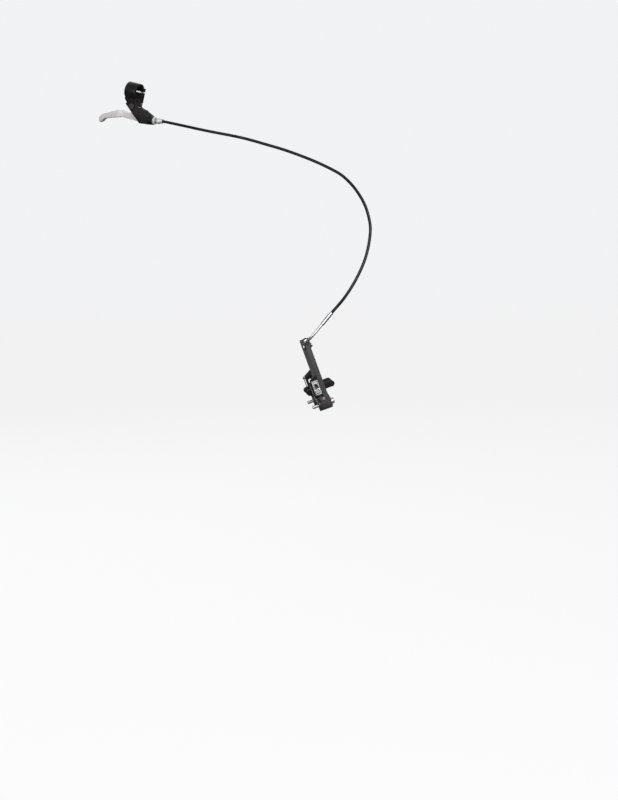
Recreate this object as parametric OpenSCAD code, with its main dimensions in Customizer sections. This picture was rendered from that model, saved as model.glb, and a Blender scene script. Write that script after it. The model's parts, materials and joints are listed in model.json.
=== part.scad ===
// Complete front brake of a cruiser bicycle: a hand lever clamped on a 22.2 mm
// bar, its cable in a free loop of housing, and a linear-pull brake that closes
// two pads on the rim. The origin is the middle of the handlebar clamp on the
// bar's axis, +X points forwards, +Y to the rider's left and +Z up.

/* [Handlebar clamp] */
// Diameter of the handlebar
bar_d = 22.2; // [20:0.1:26]
// Width of the clamp band along the bar
clamp_w = 22; // [18:1:30]
// Wall of the clamp band
clamp_wall = 3.9; // [3:0.1:6]
// Width of the slit between the clamp ears
clamp_slit = 2; // [1:0.5:3]
// Diameter of the pinch bolt
pinch_d = 5; // [4:0.5:6]
// Width of the clamp ears along the bar
ear_w = 9.6; // [9:0.2:12]

/* [Lever bracket] */
// Width of the bracket across its cheeks
bracket_w = 17; // [15:0.5:21]
// Wall of each cheek
cheek_wall = 3.2; // [2.6:0.1:4]
// Distance from the bar's axis down to the pivot
pivot_drop = 25.8; // [24:0.2:30]
// Distance of the pivot forwards of the clamp's middle
pivot_x = 6.4; // [4:0.2:8]
// Diameter of the pivot bolt
pivot_d = 6; // [5:0.5:6]
// Outer diameter of the adjuster port
port_d = 14.8; // [13:0.2:18]
// Diameter of the reach screw
reach_d = 4; // [3:0.5:4]

/* [Lever blade] */
// Width of the blade between the cheeks
root_w = 10; // [8:0.2:10]
// Width of the finger grip
finger_w = 12.5; // [11:0.5:16]
// Distance from the pivot back to the tip of the blade
blade_reach = 61.8; // [56:0.2:68]
// Drop of the tip below the pivot
tip_drop = 37.6; // [35:0.2:40]
// Distance from the pivot back to the blade's bend
bend_reach = 25.4; // [23:0.2:28]
// Drop of the bend's upper face below the pivot
bend_drop = 11.4; // [10:0.2:13]
// Depth of the blade at its bend
blade_depth = 11.4; // [10:0.2:13]
// Radius of the ball at the tip of the blade
tip_r = 4.2; // [3.4:0.2:5]
// Distance from the pivot to the cable nipple
nipple_reach = 29.8; // [28:0.1:31]
// Angle of the nipple below the bar's direction, seen from the pivot
nipple_drop = 37.6; // [35:0.2:40]

/* [Cable] */
// Outer diameter of the cable housing
housing_d = 5; // [4:0.5:5]
// Diameter of the inner wire
wire_d = 1.5; // [1.2:0.1:1.6]
// Diameter of the barrel nipple
nipple_d = 7; // [6:0.5:7]
// Length of the wire left past the anchor
tail_l = 30; // [24:1:40]

/* [Cable adjuster] */
// Rise of the cable from the bar's direction
cable_tilt = 9; // [7:0.5:11]
// Distance from the nipple to the face of the port
port_l = 20.6; // [19:0.1:22]
// Diameter of the adjuster's thread
adjuster_d = 7; // [6.6:0.1:8]
// Length of bare thread between the lock ring and the barrel
thread_gap = 4; // [2:0.5:5]
// Largest diameter of the adjuster's barrel
barrel_d = 11; // [10:0.2:13]
// Length of the adjuster's barrel
barrel_l = 11; // [10:0.5:18]
// Diameter of the lock ring
lock_ring_d = 12.4; // [11:0.2:14]
// Thickness of the lock ring
lock_ring_t = 3.6; // [2.4:0.2:4]

/* [Noodle] */
// Diameter of the curved guide pipe
noodle_d = 4.6; // [4.2:0.1:5]
// Radius of its right-angle bend
noodle_bend = 16; // [14:0.5:18]
// Length of the straight pipe up to its ferrule
noodle_l = 41; // [30:1:46]
// Rise of the pipe from the direction square to the arms
noodle_tilt = 30; // [20:1:34]
// Diameter of the ferrule on the pipe
ferrule_d = 6.6; // [6.4:0.1:8]
// Length of the ferrule
ferrule_l = 21; // [16:1:26]
// Length of the rubber boot
boot_l = 40; // [30:1:46]
// Number of ribs on the boot
boot_ribs = 9; // [6:1:12]

/* [Brake arms] */
// Distance between the two pivot posts
post_spacing = 80; // [78:1:86]
// Height of the arms from the pivots to the link pin
arm_l = 98.4; // [92:0.2:102]
// Width of an arm seen from the side
arm_w = 7.4; // [7:0.2:10]
// Thickness of an arm seen from the front
arm_t = 7.4; // [6.4:0.2:9]
// Diameter of the pivot barrel
hub_d = 20; // [18:0.5:22]
// Length of the pivot barrel
hub_l = 16.2; // [14:0.2:20]
// Outer diameter of the pivot bush
bush_d = 11; // [10.6:0.1:12]
// Bore of the pivot bush, which turns on the frame's post
post_d = 8.1; // [8:0.05:8.2]
// Diameter of the mounting bolt
bolt_d = 6; // [5:0.5:6]
// Length of bolt that stands out behind the bush
bolt_reach = 10; // [8:1:14]
// Diameter of the bolt that anchors the cable
anchor_d = 5; // [4:0.5:6]

/* [Brake pads] */
// Length of a pad
pad_l = 49; // [40:1:60]
// Height of a pad
pad_h = 10; // [9:0.5:12]
// Thickness of a pad
pad_t = 12; // [10:0.5:13]
// Gap between the two pads, where the rim runs
pad_gap = 31; // [29:0.5:33]
// Height of the pad posts above the pivots
pad_rise = 22.8; // [22:0.2:27]
// Diameter of a pad post
pad_post_d = 6; // [5:0.5:6]
// Distance from the wheel's axle to the middle of a pad
rim_r = 289.5; // [280:0.5:300]

/* [Placement] */
// Angle between the bar and straight ahead, seen from above
bar_splay = 33.6; // [20:0.2:45]
// Fall of the bar towards the front
bar_fall = 13.9; // [8:0.1:18]
// Backward lean of the brake arms
arm_rake = 20; // [15:0.5:24]
// Distance of the brake forwards of the clamp
brake_x = 303; // [290:1:320]
// Distance of the brake's middle to the right of the clamp
brake_y = 265.7; // [250:0.1:280]
// Distance of the brake below the clamp
brake_z = 517.6; // [500:0.1:530]

/* [Hidden] */
$fn = 40;

// Clearances, on the radius or on a face
running = 0.05;       // a shaft that turns in its hole
loose = 0.3;          // pieces that move past each other
snug = 0.02;          // a still piece in its hole
over = 1;             // how far a cut runs past a face
far = 60;             // well past the end of any piece of the lever

bar_r = bar_d / 2;
band_r = bar_r + clamp_wall;
pivot_r = pivot_d / 2;
eye_r = pivot_r + 3.5;                    // round end of the blade at the pivot
bush_r = pivot_r + 1.2;                   // outside of the blade's bush
slot_w = bracket_w - 2 * cheek_wall;      // gap between the cheeks
blade_w = min(root_w, slot_w - 2 * loose);
pivot_z = -pivot_drop;
nipple_x = pivot_x + nipple_reach * cos(nipple_drop);
nipple_z = pivot_z - nipple_reach * sin(nipple_drop);
nipple_r = nipple_d / 2;
tip_x = pivot_x - blade_reach;
tip_low = pivot_z - tip_drop;
bend_x = pivot_x - bend_reach;
bend_z = pivot_z - bend_drop;
wire_r = wire_d / 2;
wire_bore_r = wire_r + running;
housing_r = housing_d / 2;
cup_wall = 0.35;                          // wall of the cap on the housing's end
cup_r = housing_r + running + cup_wall;
cup_l = 8;
cup_floor = 0.8;
port_r = port_d / 2;
adjuster_r = adjuster_d / 2;

// Along the cable's axis, from the nipple
ring_from = port_l + loose;
ring_to = ring_from + lock_ring_t;
barrel_from = ring_to + thread_gap;
barrel_to = barrel_from + barrel_l;
cup_from = barrel_to - cup_l;
housing_from = cup_from + cup_floor;

// Arm frame: x square to the arms and forwards, y to the left, z up the arms
post_y = post_spacing / 2;
hub_r = hub_d / 2;
hub_back = -hub_l / 2 - 0.1;
hub_front = hub_l / 2 - 0.1;
arm_x = 2.9;                              // middle of the slim bar
arm_back = arm_x - arm_w / 2;
arm_front = arm_x + arm_w / 2;
arm_top = arm_l + 4;
bar_out = post_y + 10.6;                  // outer face of the slim bar
top_y = post_y + 5;                       // middle of the bar at its top
arm_knee = 24;                            // height where the foot becomes the slim bar
arm_waist = 66;                           // height where the bar leans in to its top
arm_curve = 30;                           // radius of that lean
web_t = 5;
web_in = post_y + 1;
web_out = web_in + web_t;
web_back = -13.8;
web_top = 50;
slot_x = -6.8;                            // middle of the slot for the pad's post
slot_low = pad_rise - 4.4;
slot_high = pad_rise + 10.6;
block_top = 12;
block_out = bar_out;
plate_t = 1.5;
plate_w = 10.8;
plate_low = slot_low - 2;
plate_high = slot_high + 7.8;
housing_t = 5.4;                          // depth of the spring housing
case_front = hub_back - loose;
case_back = case_front - housing_t;
bush_front = hub_front + loose;
anchor_z = arm_l - 3.5;
anchor_side = anchor_d / 2 + wire_r;      // the wire runs this far above the bolt
wire_straight = 9;                        // straight wire before the anchor's middle
wire_past = 8;                            // and after it, before the tail bends
wheel_x = 15.4;                           // the wheel's axle
wheel_z = pad_rise + 1.7 - sqrt(pow(rim_r, 2) - pow(wheel_x, 2));
pad_face = pad_gap / 2;
pad_back = pad_face + pad_t;

// The noodle: its tip points along +y through the link
tip_z = arm_l + 7.8;
tip_end_y = -top_y + 11;
tip_from_y = -top_y - 1;
pipe_y = tip_from_y - noodle_bend;
noodle_r = noodle_d / 2;
ferrule_r = ferrule_d / 2;
link_t = 1.5;
link_wall_y = -top_y + 3;

// ---------------------------------------------------------------- frames

// Lever frame: x along the bar towards the stem, z up, the origin on the bar
module on_bar() rotate([0, bar_fall, -bar_splay]) children();
// Arm frame: the origin midway between the two pivot posts
module on_fork() translate([brake_x, -brake_y, -brake_z]) rotate([0, -arm_rake, 0]) children();
// Cable frame: z along the wire away from the nipple
module on_cable() on_bar() translate([nipple_x, 0, nipple_z]) rotate([0, 90 - cable_tilt, 0])
    children();
// Noodle frame: z up the straight pipe from the end of its bend
module on_noodle() on_fork() translate([arm_x, pipe_y, tip_z]) rotate([0, 90 - noodle_tilt, 0])
    children();
// The right arm's side, or its mirror image
module on_side(side) on_fork() mirror([0, side > 0 ? 0 : 1, 0]) children();

function turn_y(p, a) = [p.x * cos(a) + p.z * sin(a), p.y, p.z * cos(a) - p.x * sin(a)];
function turn_z(p, a) = [p.x * cos(a) - p.y * sin(a), p.x * sin(a) + p.y * cos(a), p.z];
function bar_point(p) = turn_z(turn_y(p, bar_fall), -bar_splay);
function fork_point(p) = turn_y(p, -arm_rake) + [brake_x, -brake_y, -brake_z];
function cable_point(s) = bar_point([nipple_x + s * cos(cable_tilt), 0,
                                     nipple_z + s * sin(cable_tilt)]);
function noodle_point(s) = fork_point([arm_x + s * cos(noodle_tilt), pipe_y,
                                       tip_z + s * sin(noodle_tilt)]);

// ---------------------------------------------------------------- shapes

half_turn = 180;                          // degrees
function unit(v) = v / norm(v);
// The arc that rounds corner b, between its neighbours a and c
function corner(a, b, c, r, steps = 4) =
    let (u = unit(a - b), w = unit(c - b), half = acos(u * w) / 2, sweep = half_turn - 2 * half,
         mid = b + unit(u + w) * r / sin(half), s = b + u * r / tan(half) - mid,
         e = b + w * r / tan(half) - mid)
    [for (k = [0:steps]) mid + (s * sin((1 - k / steps) * sweep) + e * sin(k / steps * sweep))
                         / sin(sweep)];
// An outline from [x, y, corner radius] points
function rounded(pts) = [for (i = [0:len(pts) - 1])
    let (n = len(pts), p = pts[i], a = pts[(i + n - 1) % n], c = pts[(i + 1) % n])
    each p[2] > 0 ? corner([a[0], a[1]], [p[0], p[1]], [c[0], c[1]], p[2]) : [[p[0], p[1]]]];

// An outline in x and z, extruded across y
module across(width, pts) rotate([90, 0, 0]) linear_extrude(width, center = true) polygon(pts);
// A cylinder along y from one y to another, at x and z
module pin_y(r, x, z, from, to) translate([x, to, z]) rotate([90, 0, 0])
    cylinder(r = r, h = to - from);
// A cylinder along x from one x to another, at y and z
module pin_x(r, y, z, from, to) translate([from, y, z]) rotate([0, 90, 0])
    cylinder(r = r, h = to - from);
// A slot along z through y, with round ends
module slot_y(r, x, low, high, from, to) {
    for (z = [low, high]) pin_y(r, x, z, from, to);
    translate([x - r, from, low]) cube([2 * r, to - from, high - low]);
}

// A point on the smooth curve through a list of points, between p[i] and p[i + 1]
function curve_point(p, i, t) =
    let (n = len(p) - 1, a = p[max(i - 1, 0)], b = p[i], c = p[min(i + 1, n)], d = p[min(i + 2, n)])
    0.5 * (2 * b + (c - a) * t + (2 * a - 5 * b + 4 * c - d) * t * t
           + (3 * b - 3 * c + d - a) * t * t * t);
function smooth(p, steps) = concat([for (i = [0:len(p) - 2], k = [0:steps - 1])
    curve_point(p, i, k / steps)], [p[len(p) - 1]]);
function heading(p, i) = unit(p[min(i + 1, len(p) - 1)] - p[max(i - 1, 0)]);
// A side direction for each ring, carried along the path without twisting
function sides_of(p) = [for (i = 0, s = unit(cross(heading(p, 0), [0.13, 0.31, 0.94]));
    i < len(p);
    i = i + 1, s = i < len(p) ? unit(s - heading(p, i) * (s * heading(p, i))) : s) s];
// One unbroken round tube along a path
module sweep(path, r, faces) {
    n = len(path);
    side = sides_of(path);
    points = [for (i = [0:n - 1]) let (h = heading(path, i), a = side[i], b = cross(h, a))
        for (k = [0:faces - 1]) path[i] + r * (a * cos(360 * k / faces) + b * sin(360 * k / faces))];
    walls = [for (i = [0:n - 2], k = [0:faces - 1]) let (j = (k + 1) % faces, a = i * faces)
        each [[a + k, a + faces + j, a + j], [a + k, a + faces + k, a + faces + j]]];
    ends = [for (k = [1:faces - 2]) each [[0, k, k + 1],
        [(n - 1) * faces, (n - 1) * faces + k + 1, (n - 1) * faces + k]]];
    polyhedron(points = points, faces = concat(walls, ends));
}

// ---------------------------------------------------------------- lever

bracket_outline = rounded([
    [-clamp_w / 2, -9, 0], [-clamp_w / 2, -15.8, 2], [-5.5, -21, 1.5], [-7.6, -23.8, 1.2],
    [nipple_x - 2.4, nipple_z - 7, 3], [nipple_x + 14, nipple_z - 4.8, 2],
    [nipple_x + 14.4, nipple_z + 10.2, 2], [nipple_x + 1, nipple_z + 15.6, 3],
    [nipple_x - 12.5, nipple_z + 19.6, 4], [clamp_w / 2 + 1.5, pivot_z + 8.5, 3],
    [clamp_w / 2, -9, 0]]);
slot_roof = rounded([
    [pivot_x - far, pivot_z - 1, 0], [pivot_x, pivot_z - 1, 0], [pivot_x + 3.6, pivot_z + 6.2, 0],
    [nipple_x + 6.6, nipple_z + 9.2, 2], [nipple_x + 6.6, nipple_z - far, 0],
    [pivot_x - far, nipple_z - far, 0]]);

// Shallow pocket that lightens each cheek, ahead of the pivot
pocket = rounded([
    [pivot_x + 10, pivot_z + 6.6, 1.5], [pivot_x + 17, pivot_z + 8, 1.5],
    [pivot_x + 20.5, pivot_z + 0.4, 1.5], [pivot_x + 9, pivot_z - 3.4, 1.5]]);
pocket_t = 0.8;

ear_x = clamp_w / 2 - ear_w / 2 - 0.4;
ear_y = bar_r + 3.8 + pinch_d / 2;
ear_low = -18;
ear_high = 7;
reach_dir = 30;                           // lean of the reach screw

module lever_bracket() color([0.13, 0.13, 0.14]) on_bar() difference() {
    union() {
        pin_x(band_r, 0, 0, -clamp_w / 2, clamp_w / 2);
        across(bracket_w, bracket_outline);
        translate([nipple_x, 0, nipple_z]) rotate([0, 90 - cable_tilt, 0])
            translate([0, 0, 8]) cylinder(r = port_r, h = port_l - 8);
        // ears for the pinch bolt
        translate([ear_x, ear_y, ear_low]) cylinder(r = ear_w / 2, h = ear_high - ear_low);
        translate([ear_x - ear_w / 2, bar_r - 3, ear_low])
            cube([ear_w, ear_y - bar_r + 3, ear_high - ear_low]);
    }
    pin_x(bar_r, 0, 0, -clamp_w / 2 - over, clamp_w / 2 + over);
    translate([-clamp_w / 2 - over, 0, -clamp_slit / 2])
        cube([clamp_w + 2 * over, ear_y + ear_w, clamp_slit]);
    translate([ear_x, ear_y, ear_low - over])
        cylinder(r = pinch_d / 2 + snug, h = ear_high - ear_low + 2 * over);
    // slot for the blade, between the cheeks
    across(slot_w, slot_roof);
    pin_y(eye_r + 2 * loose, pivot_x, pivot_z, -slot_w / 2, slot_w / 2);
    pin_y(pivot_r + snug, pivot_x, pivot_z, -bracket_w, bracket_w);
    for (y = [-1, 1]) translate([0, y * bracket_w / 2, 0]) across(2 * pocket_t, pocket);
    // bores for the adjuster and the reach screw
    translate([nipple_x, 0, nipple_z]) rotate([0, 90 - cable_tilt, 0])
        cylinder(r = adjuster_r + running, h = port_l + over);
    reach_frame() translate([0, 0, -12]) cylinder(r = reach_d / 2 + snug, h = 24);
}

module reach_frame() translate([nipple_x + 2.6, 0, nipple_z + 15]) rotate([0, reach_dir, 0])
    children();

module reach_screw() color("dimgray") on_bar() reach_frame() difference() {
    translate([0, 0, -6.4]) cylinder(r = reach_d / 2, h = 9);
    translate([0, 0, 1.2]) cylinder(r = reach_d / 4, h = 3, $fn = 6);
}

module pinch_bolt() color("silver") on_bar() translate([ear_x, ear_y, ear_low]) difference() {
    union() {
        cylinder(r = pinch_d / 2, h = ear_high - ear_low);
        translate([0, 0, -pinch_d]) cylinder(r = pinch_d * 0.85, h = pinch_d);
    }
    translate([0, 0, -pinch_d - over]) cylinder(r = pinch_d * 0.46, h = pinch_d * 0.6 + over, $fn = 6);
}

// The blade seen from the side, from its tip to the hook of the nipple
blade_outline = rounded([
    [tip_x - 3.8, tip_low + 2.9, 1.5], [tip_x + 2.6, tip_low + 11, 8], [bend_x, bend_z, 9],
    [nipple_x - 17.6, nipple_z + 4.6, 3],
    [pivot_x - 5.4, pivot_z - 5, 1], [pivot_x + 4.2, pivot_z + 5.6, 0],
    [nipple_x + 3.6, nipple_z + 5, 2], [nipple_x + 1, nipple_z - 5.8, 2],
    [nipple_x - 9, nipple_z - 4.6, 6],
    [bend_x + 5, bend_z - blade_depth, 14], [tip_x + 7.2, tip_low + 4.8, 9],
    [tip_x + 2.4, tip_low - 3.2, 1.5]]);
// The blade seen from the bar
blade_half_plan = [
    [tip_x - 6.6, 4.4, 3], [tip_x + 9.4, 5, 12], [bend_x - 3, finger_w / 2, 12],
    [bend_x + 6, blade_w / 2, 6], [nipple_x + far, blade_w / 2, 0]];
blade_plan = rounded(concat([for (p = blade_half_plan) [p.x, -p.y, p[2]]],
                            [for (i = [4:-1:0]) blade_half_plan[i]]));

module lever_blade() color([0.8, 0.8, 0.78]) on_bar() difference() {
    union() {
        intersection() {
            across(2 * finger_w, blade_outline);
            translate([0, 0, tip_low - far]) linear_extrude(2 * far) polygon(blade_plan);
        }
        pin_y(eye_r, pivot_x, pivot_z, -blade_w / 2, blade_w / 2);
        pin_y(nipple_r + 2.4, nipple_x, nipple_z, -blade_w / 2, blade_w / 2);
        translate([tip_x, 0, tip_low]) sphere(r = tip_r);
    }
    pin_y(bush_r, pivot_x, pivot_z, -blade_w, blade_w);
    pin_y(nipple_r + running, nipple_x, nipple_z, -blade_w, blade_w);
    // fan-shaped slot that lets the wire swing
    across(wire_d + 2 * loose, [[nipple_x, nipple_z - 1.1],
        [nipple_x + 12, nipple_z - 1.1], [nipple_x + 14, nipple_z + 14],
        [nipple_x + 1, nipple_z + 14], [nipple_x - 2, nipple_z]]);
}

module blade_bush() color("tan") on_bar() difference() {
    pin_y(bush_r, pivot_x, pivot_z, -blade_w / 2, blade_w / 2);
    pin_y(pivot_r + running, pivot_x, pivot_z, -blade_w, blade_w);
}

module pivot_bolt() color("silver") on_bar() difference() {
    union() {
        pin_y(pivot_r, pivot_x, pivot_z, -bracket_w / 2, bracket_w / 2 + 4);
        pin_y(pivot_r + 1.9, pivot_x, pivot_z, -bracket_w / 2 - 2, -bracket_w / 2);
    }
    translate([pivot_x, -bracket_w / 2 - 0.6, pivot_z]) rotate([90, 0, 0])
        cylinder(r = pivot_r * 0.7, h = 3, $fn = 6);
}

module pivot_nut() color("silver") on_bar() difference() {
    translate([pivot_x, bracket_w / 2 + 3.6, pivot_z]) rotate([90, 0, 0])
        cylinder(r = pivot_r + 2.6, h = 3.6, $fn = 6);
    pin_y(pivot_r + snug, pivot_x, pivot_z, 0, bracket_w);
}

module cable_nipple() color("silver") on_bar() difference() {
    pin_y(nipple_r, nipple_x, nipple_z, -blade_w / 2 + 0.5, blade_w / 2 - 0.5);
    translate([nipple_x, 0, nipple_z]) rotate([0, 90 - cable_tilt, 0])
        cylinder(r = wire_r + snug, h = nipple_d);
}

module lever_wire() color("silver") on_cable() cylinder(r = wire_r, h = housing_from, $fn = 16);

module knurl(r, from, to, notches) for (k = [0:notches - 1]) rotate(360 * k / notches)
    translate([r + 0.3, 0, from - over]) cylinder(r = 0.8, h = to - from + 2 * over, $fn = 16);

module lock_ring() color("silver") on_cable() difference() {
    translate([0, 0, ring_from]) cylinder(r = lock_ring_d / 2, h = lock_ring_t);
    cylinder(r = adjuster_r + running, h = barrel_to);
    knurl(lock_ring_d / 2, ring_from, ring_to, 16);
}

knurl_l = 3.4;                            // knurled part of the barrel
collar_r = cup_r + 1.1;                   // collar at the barrel's end, past a groove
module barrel_adjuster() color("silver") on_cable() difference() {
    union() {
        translate([0, 0, port_l - 11]) cylinder(r = adjuster_r, h = barrel_from - port_l + 12);
        translate([0, 0, barrel_from]) cylinder(r = barrel_d / 2, h = knurl_l);
        translate([0, 0, barrel_from + knurl_l])
            cylinder(r1 = barrel_d / 2 - 0.5, r2 = collar_r, h = barrel_l - knurl_l - 3.4);
        translate([0, 0, barrel_to - 4]) cylinder(r = cup_r + 0.6, h = 3);
        translate([0, 0, barrel_to - 2]) cylinder(r = collar_r, h = 2);
    }
    cylinder(r = wire_bore_r + 0.6, h = barrel_to);
    translate([0, 0, cup_from - 0.1]) cylinder(r = cup_r + running, h = cup_l + over);
    knurl(barrel_d / 2, barrel_from, barrel_from + knurl_l, 12);
}

module upper_ferrule() color([0.75, 0.7, 0.5]) on_cable() difference() {
    translate([0, 0, cup_from]) cylinder(r = cup_r, h = cup_l);
    translate([0, 0, housing_from]) cylinder(r = housing_r + snug, h = cup_l);
    cylinder(r = wire_bore_r, h = barrel_to);
}

// ---------------------------------------------------------------- cable

// The housing's way from the adjuster round in front of the bar to the noodle
route = [[77, -57, -60], [122, -90, -71], [177, -123, -83], [218, -145, -95],
         [252, -163, -106], [292, -185, -122], [326, -205, -139], [344, -218, -152],
         [360.4, -234, -172], [373.2, -250, -197], [379, -264, -223], [378.6, -275, -243],
         [372.4, -289, -270], [362.8, -302, -294], [347, -315, -322], [329, -324.4, -347]];
ferrule_from = noodle_l;
housing_seat = ferrule_from + ferrule_l - 14;
housing_path = concat(
    [for (s = [0, 5.5]) cable_point(housing_from + s)],
    smooth(concat([cable_point(barrel_to + 3)], route,
                  [noodle_point(ferrule_from + ferrule_l + 3)]), 3),
    [for (s = [8, 0]) noodle_point(housing_seat + s)]);

module cable_housing() color([0.06, 0.06, 0.06]) sweep(housing_path, housing_r, 10);

module noodle_ferrule() color("silver") on_noodle() difference() {
    union() {
        translate([0, 0, ferrule_from]) cylinder(r = ferrule_r, h = ferrule_l);
        translate([0, 0, ferrule_from - 4])
            cylinder(r1 = noodle_r + 0.7, r2 = ferrule_r, h = 4);
    }
    translate([0, 0, housing_seat]) cylinder(r = housing_r + running, h = ferrule_l);
    translate([0, 0, ferrule_from - 5]) cylinder(r = noodle_r, h = housing_seat - ferrule_from + 4);
    translate([0, 0, ferrule_from]) cylinder(r = wire_bore_r, h = ferrule_l);
}

// The noodle's outside or its bore: a straight run, a right-angle bend and the tip
module noodle_run(r, top, past) {
    translate([0, 0, noodle_bend]) cylinder(r = r, h = top - noodle_bend);
    translate([0, noodle_bend, noodle_bend]) rotate([-90, 0, 0]) rotate([0, 90, 0])
        rotate_extrude(angle = 90) translate([noodle_bend, 0]) circle(r = r);
    pin_y(r, 0, 0, noodle_bend, noodle_bend + tip_end_y - tip_from_y + past);
}

module noodle_pipe() color("silver") on_noodle() difference() {
    union() {
        noodle_run(noodle_r, housing_seat - 1, 0);
        pin_y(noodle_r + 1.2, 0, 0, noodle_bend + 2.3, noodle_bend + 3.9);
    }
    noodle_run(wire_r + 0.35, housing_seat, over);
}

module noodle_link() color([0.2, 0.2, 0.21]) on_fork() difference() {
    union() {
        for (x = [arm_back - loose - link_t, arm_front + loose]) translate([x, 0, 0])
            rotate([90, 0, 90]) linear_extrude(link_t) polygon(rounded([
                [-top_y - 4.6, arm_l - 4.6, 4], [link_wall_y + link_t, arm_l - 4.6, 4],
                [link_wall_y + link_t, tip_z + 5, 2], [-top_y - 2, tip_z + 5, 3]]));
        translate([arm_back - loose - link_t, link_wall_y, arm_top + 0.5])
            cube([arm_w + 2 * (loose + link_t), link_t, tip_z + 4 - arm_top - 0.5]);
    }
    pin_x(2 + running, -top_y, arm_l, arm_back - 9, arm_front + 9);
    pin_y(noodle_r + snug, arm_x, tip_z, link_wall_y - over, link_wall_y + link_t + over);
    translate([arm_x - wire_d, link_wall_y - over, tip_z]) cube([2 * wire_d, link_t + 2 * over, 9]);
}

module link_pin() color("silver") on_fork() {
    pin_x(2, -top_y, arm_l, arm_back - link_t - 2, arm_front + link_t + 2);
    for (x = [arm_back - link_t - 2.4, arm_front + link_t + 2 * loose])
        pin_x(3, -top_y, arm_l, x, x + 1.8);
}

// The wire's way from the noodle to the anchor, and its tail
anchor_x = arm_front + 0.1 + wire_r;
wire_z = anchor_z + anchor_side;
wire_way = [[arm_x, tip_from_y + 3, tip_z], [arm_x, tip_end_y, tip_z],
            [anchor_x, top_y - wire_straight, wire_z]];
// Bends of the tail, as drawn for a tail 30 mm long
tail_bends = [[0, 0, 0], [-0.4, 6, -0.6], [-1.2, 12, -3.4], [-2.4, 16.2, -9], [-3.8, 18.6, -16.2]];
tail = [for (q = tail_bends) [anchor_x, top_y + wire_past, wire_z] + q * tail_l / 30];
function on_fork_path(p) = [for (q = p) fork_point(q)];

module brake_wire() color([0.7, 0.7, 0.7])
    sweep(on_fork_path(concat(wire_way, smooth(tail, 3))), wire_r, 8);

module toward(from, to) translate(from)
    rotate([0, acos((to - from).z / norm(to - from)), atan2((to - from).y, (to - from).x)])
    children();

module wire_end_cap() color([0.1, 0.1, 0.1]) on_fork() toward(tail[4], 2 * tail[4] - tail[3])
    translate([0, 0, snug]) cylinder(r = wire_r + 0.7, h = 9);

module rubber_boot() color([0.08, 0.08, 0.08]) on_fork() toward(wire_way[1], wire_way[2]) {
    cuff = noodle_r + 1.9;
    pitch = (boot_l - 9) / boot_ribs;
    rib_r = function(k) cuff + 0.9 - 0.18 * k;
    rotate_extrude() polygon(concat(
        [[noodle_r + 0.8, -5], [cuff, -5], [cuff, 1]],
        [for (k = [0:boot_ribs - 1]) each [[rib_r(k), 2 + (k + 0.3) * pitch],
            [rib_r(k), 2 + (k + 0.6) * pitch], [rib_r(k) - 1.5, 2 + (k + 0.9) * pitch]]],
        [[wire_r + 1.6, boot_l - 5], [wire_r + 0.35, boot_l - 5], [wire_r + 0.35, boot_l - 9],
         [cuff - 1.9, boot_l - 12], [cuff - 1.9, 1], [noodle_r + 0.8, 0.4]]));
}

// ---------------------------------------------------------------- arms

// The arm seen from the front, in y and z
arm_outline = rounded([
    [post_y - 7, 0, 0], [post_y - 5.5, 10, 6], [bar_out - arm_t, arm_knee, 12],
    [bar_out - arm_t, arm_waist, arm_curve], [top_y - 3.4, arm_top, 3],
    [top_y + 3.4, arm_top, 3], [bar_out, arm_waist, arm_curve], [bar_out, 6, 5],
    [post_y + 7, 0, 0]]);
web_outline = rounded([
    [web_back, 13.2, 2], [web_back, web_top - 6.5, 2], [arm_back - 1, web_top, 2], [arm_x, web_top + 3, 0],
    [arm_x, 4, 0], [hub_back, 4, 0], [hub_back, 10.8, 0], [-9.4, 10.8, 1]]);
peg_z = 40;
peg_y = post_y + 5.5;

module arm(side, top_bore) color([0.2, 0.2, 0.21]) on_side(side) difference() {
    union() {
        pin_x(hub_r, post_y, 0, hub_back, hub_front);
        translate([hub_back, post_y - 5, 0]) cube([hub_l, block_out - post_y + 5, block_top]);
        translate([arm_x, 0, 0]) rotate([90, 0, 90]) linear_extrude(arm_w, center = true)
            polygon(arm_outline);
        translate([0, (web_in + web_out) / 2, 0]) across(web_t, web_outline);
        pin_x(1.1, peg_y, peg_z, web_back - 3.6, web_back + 1.2);
    }
    pin_x(bush_d / 2 + running, post_y, 0, hub_back - over, hub_front + over);
    slot_y(pad_post_d / 2 + loose, slot_x, slot_low, slot_high, web_in - over, web_out + over);
    pin_x(top_bore.x, top_y, top_bore.y, arm_back - over, arm_front + over);
    pin_y(2, tension_x, tension_z, block_out - 4, block_out + over);
}
tension_x = -2.3;
tension_z = 9;

module arm_right() arm(-1, [2 + snug, arm_l]);
module arm_left() arm(1, [anchor_d / 2 + snug, anchor_z]);

plate_outline = rounded([
    [slot_x - plate_w / 2, plate_high, 1], [slot_x + plate_w / 2, plate_high, 1],
    [slot_x + plate_w / 2, plate_low, 4], [slot_x - plate_w / 2, plate_low, 4]]);
module slot_plate(side) color("silver") on_side(side) difference() {
    translate([0, web_out + plate_t / 2, 0]) across(plate_t, plate_outline);
    slot_y(pad_post_d / 2 + 0.2, slot_x, slot_low + 0.8, slot_high - 0.8, web_out - over,
        web_out + plate_t + over);
}

module pad_post(side) color("silver") on_side(side) {
    pin_y(pad_post_d / 2, slot_x, pad_rise, pad_back - 5, web_out + plate_t + 8);
    pin_y(pad_post_d / 2 + 2.5, slot_x, pad_rise, pad_back, pad_back + 1.8);
}

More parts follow.
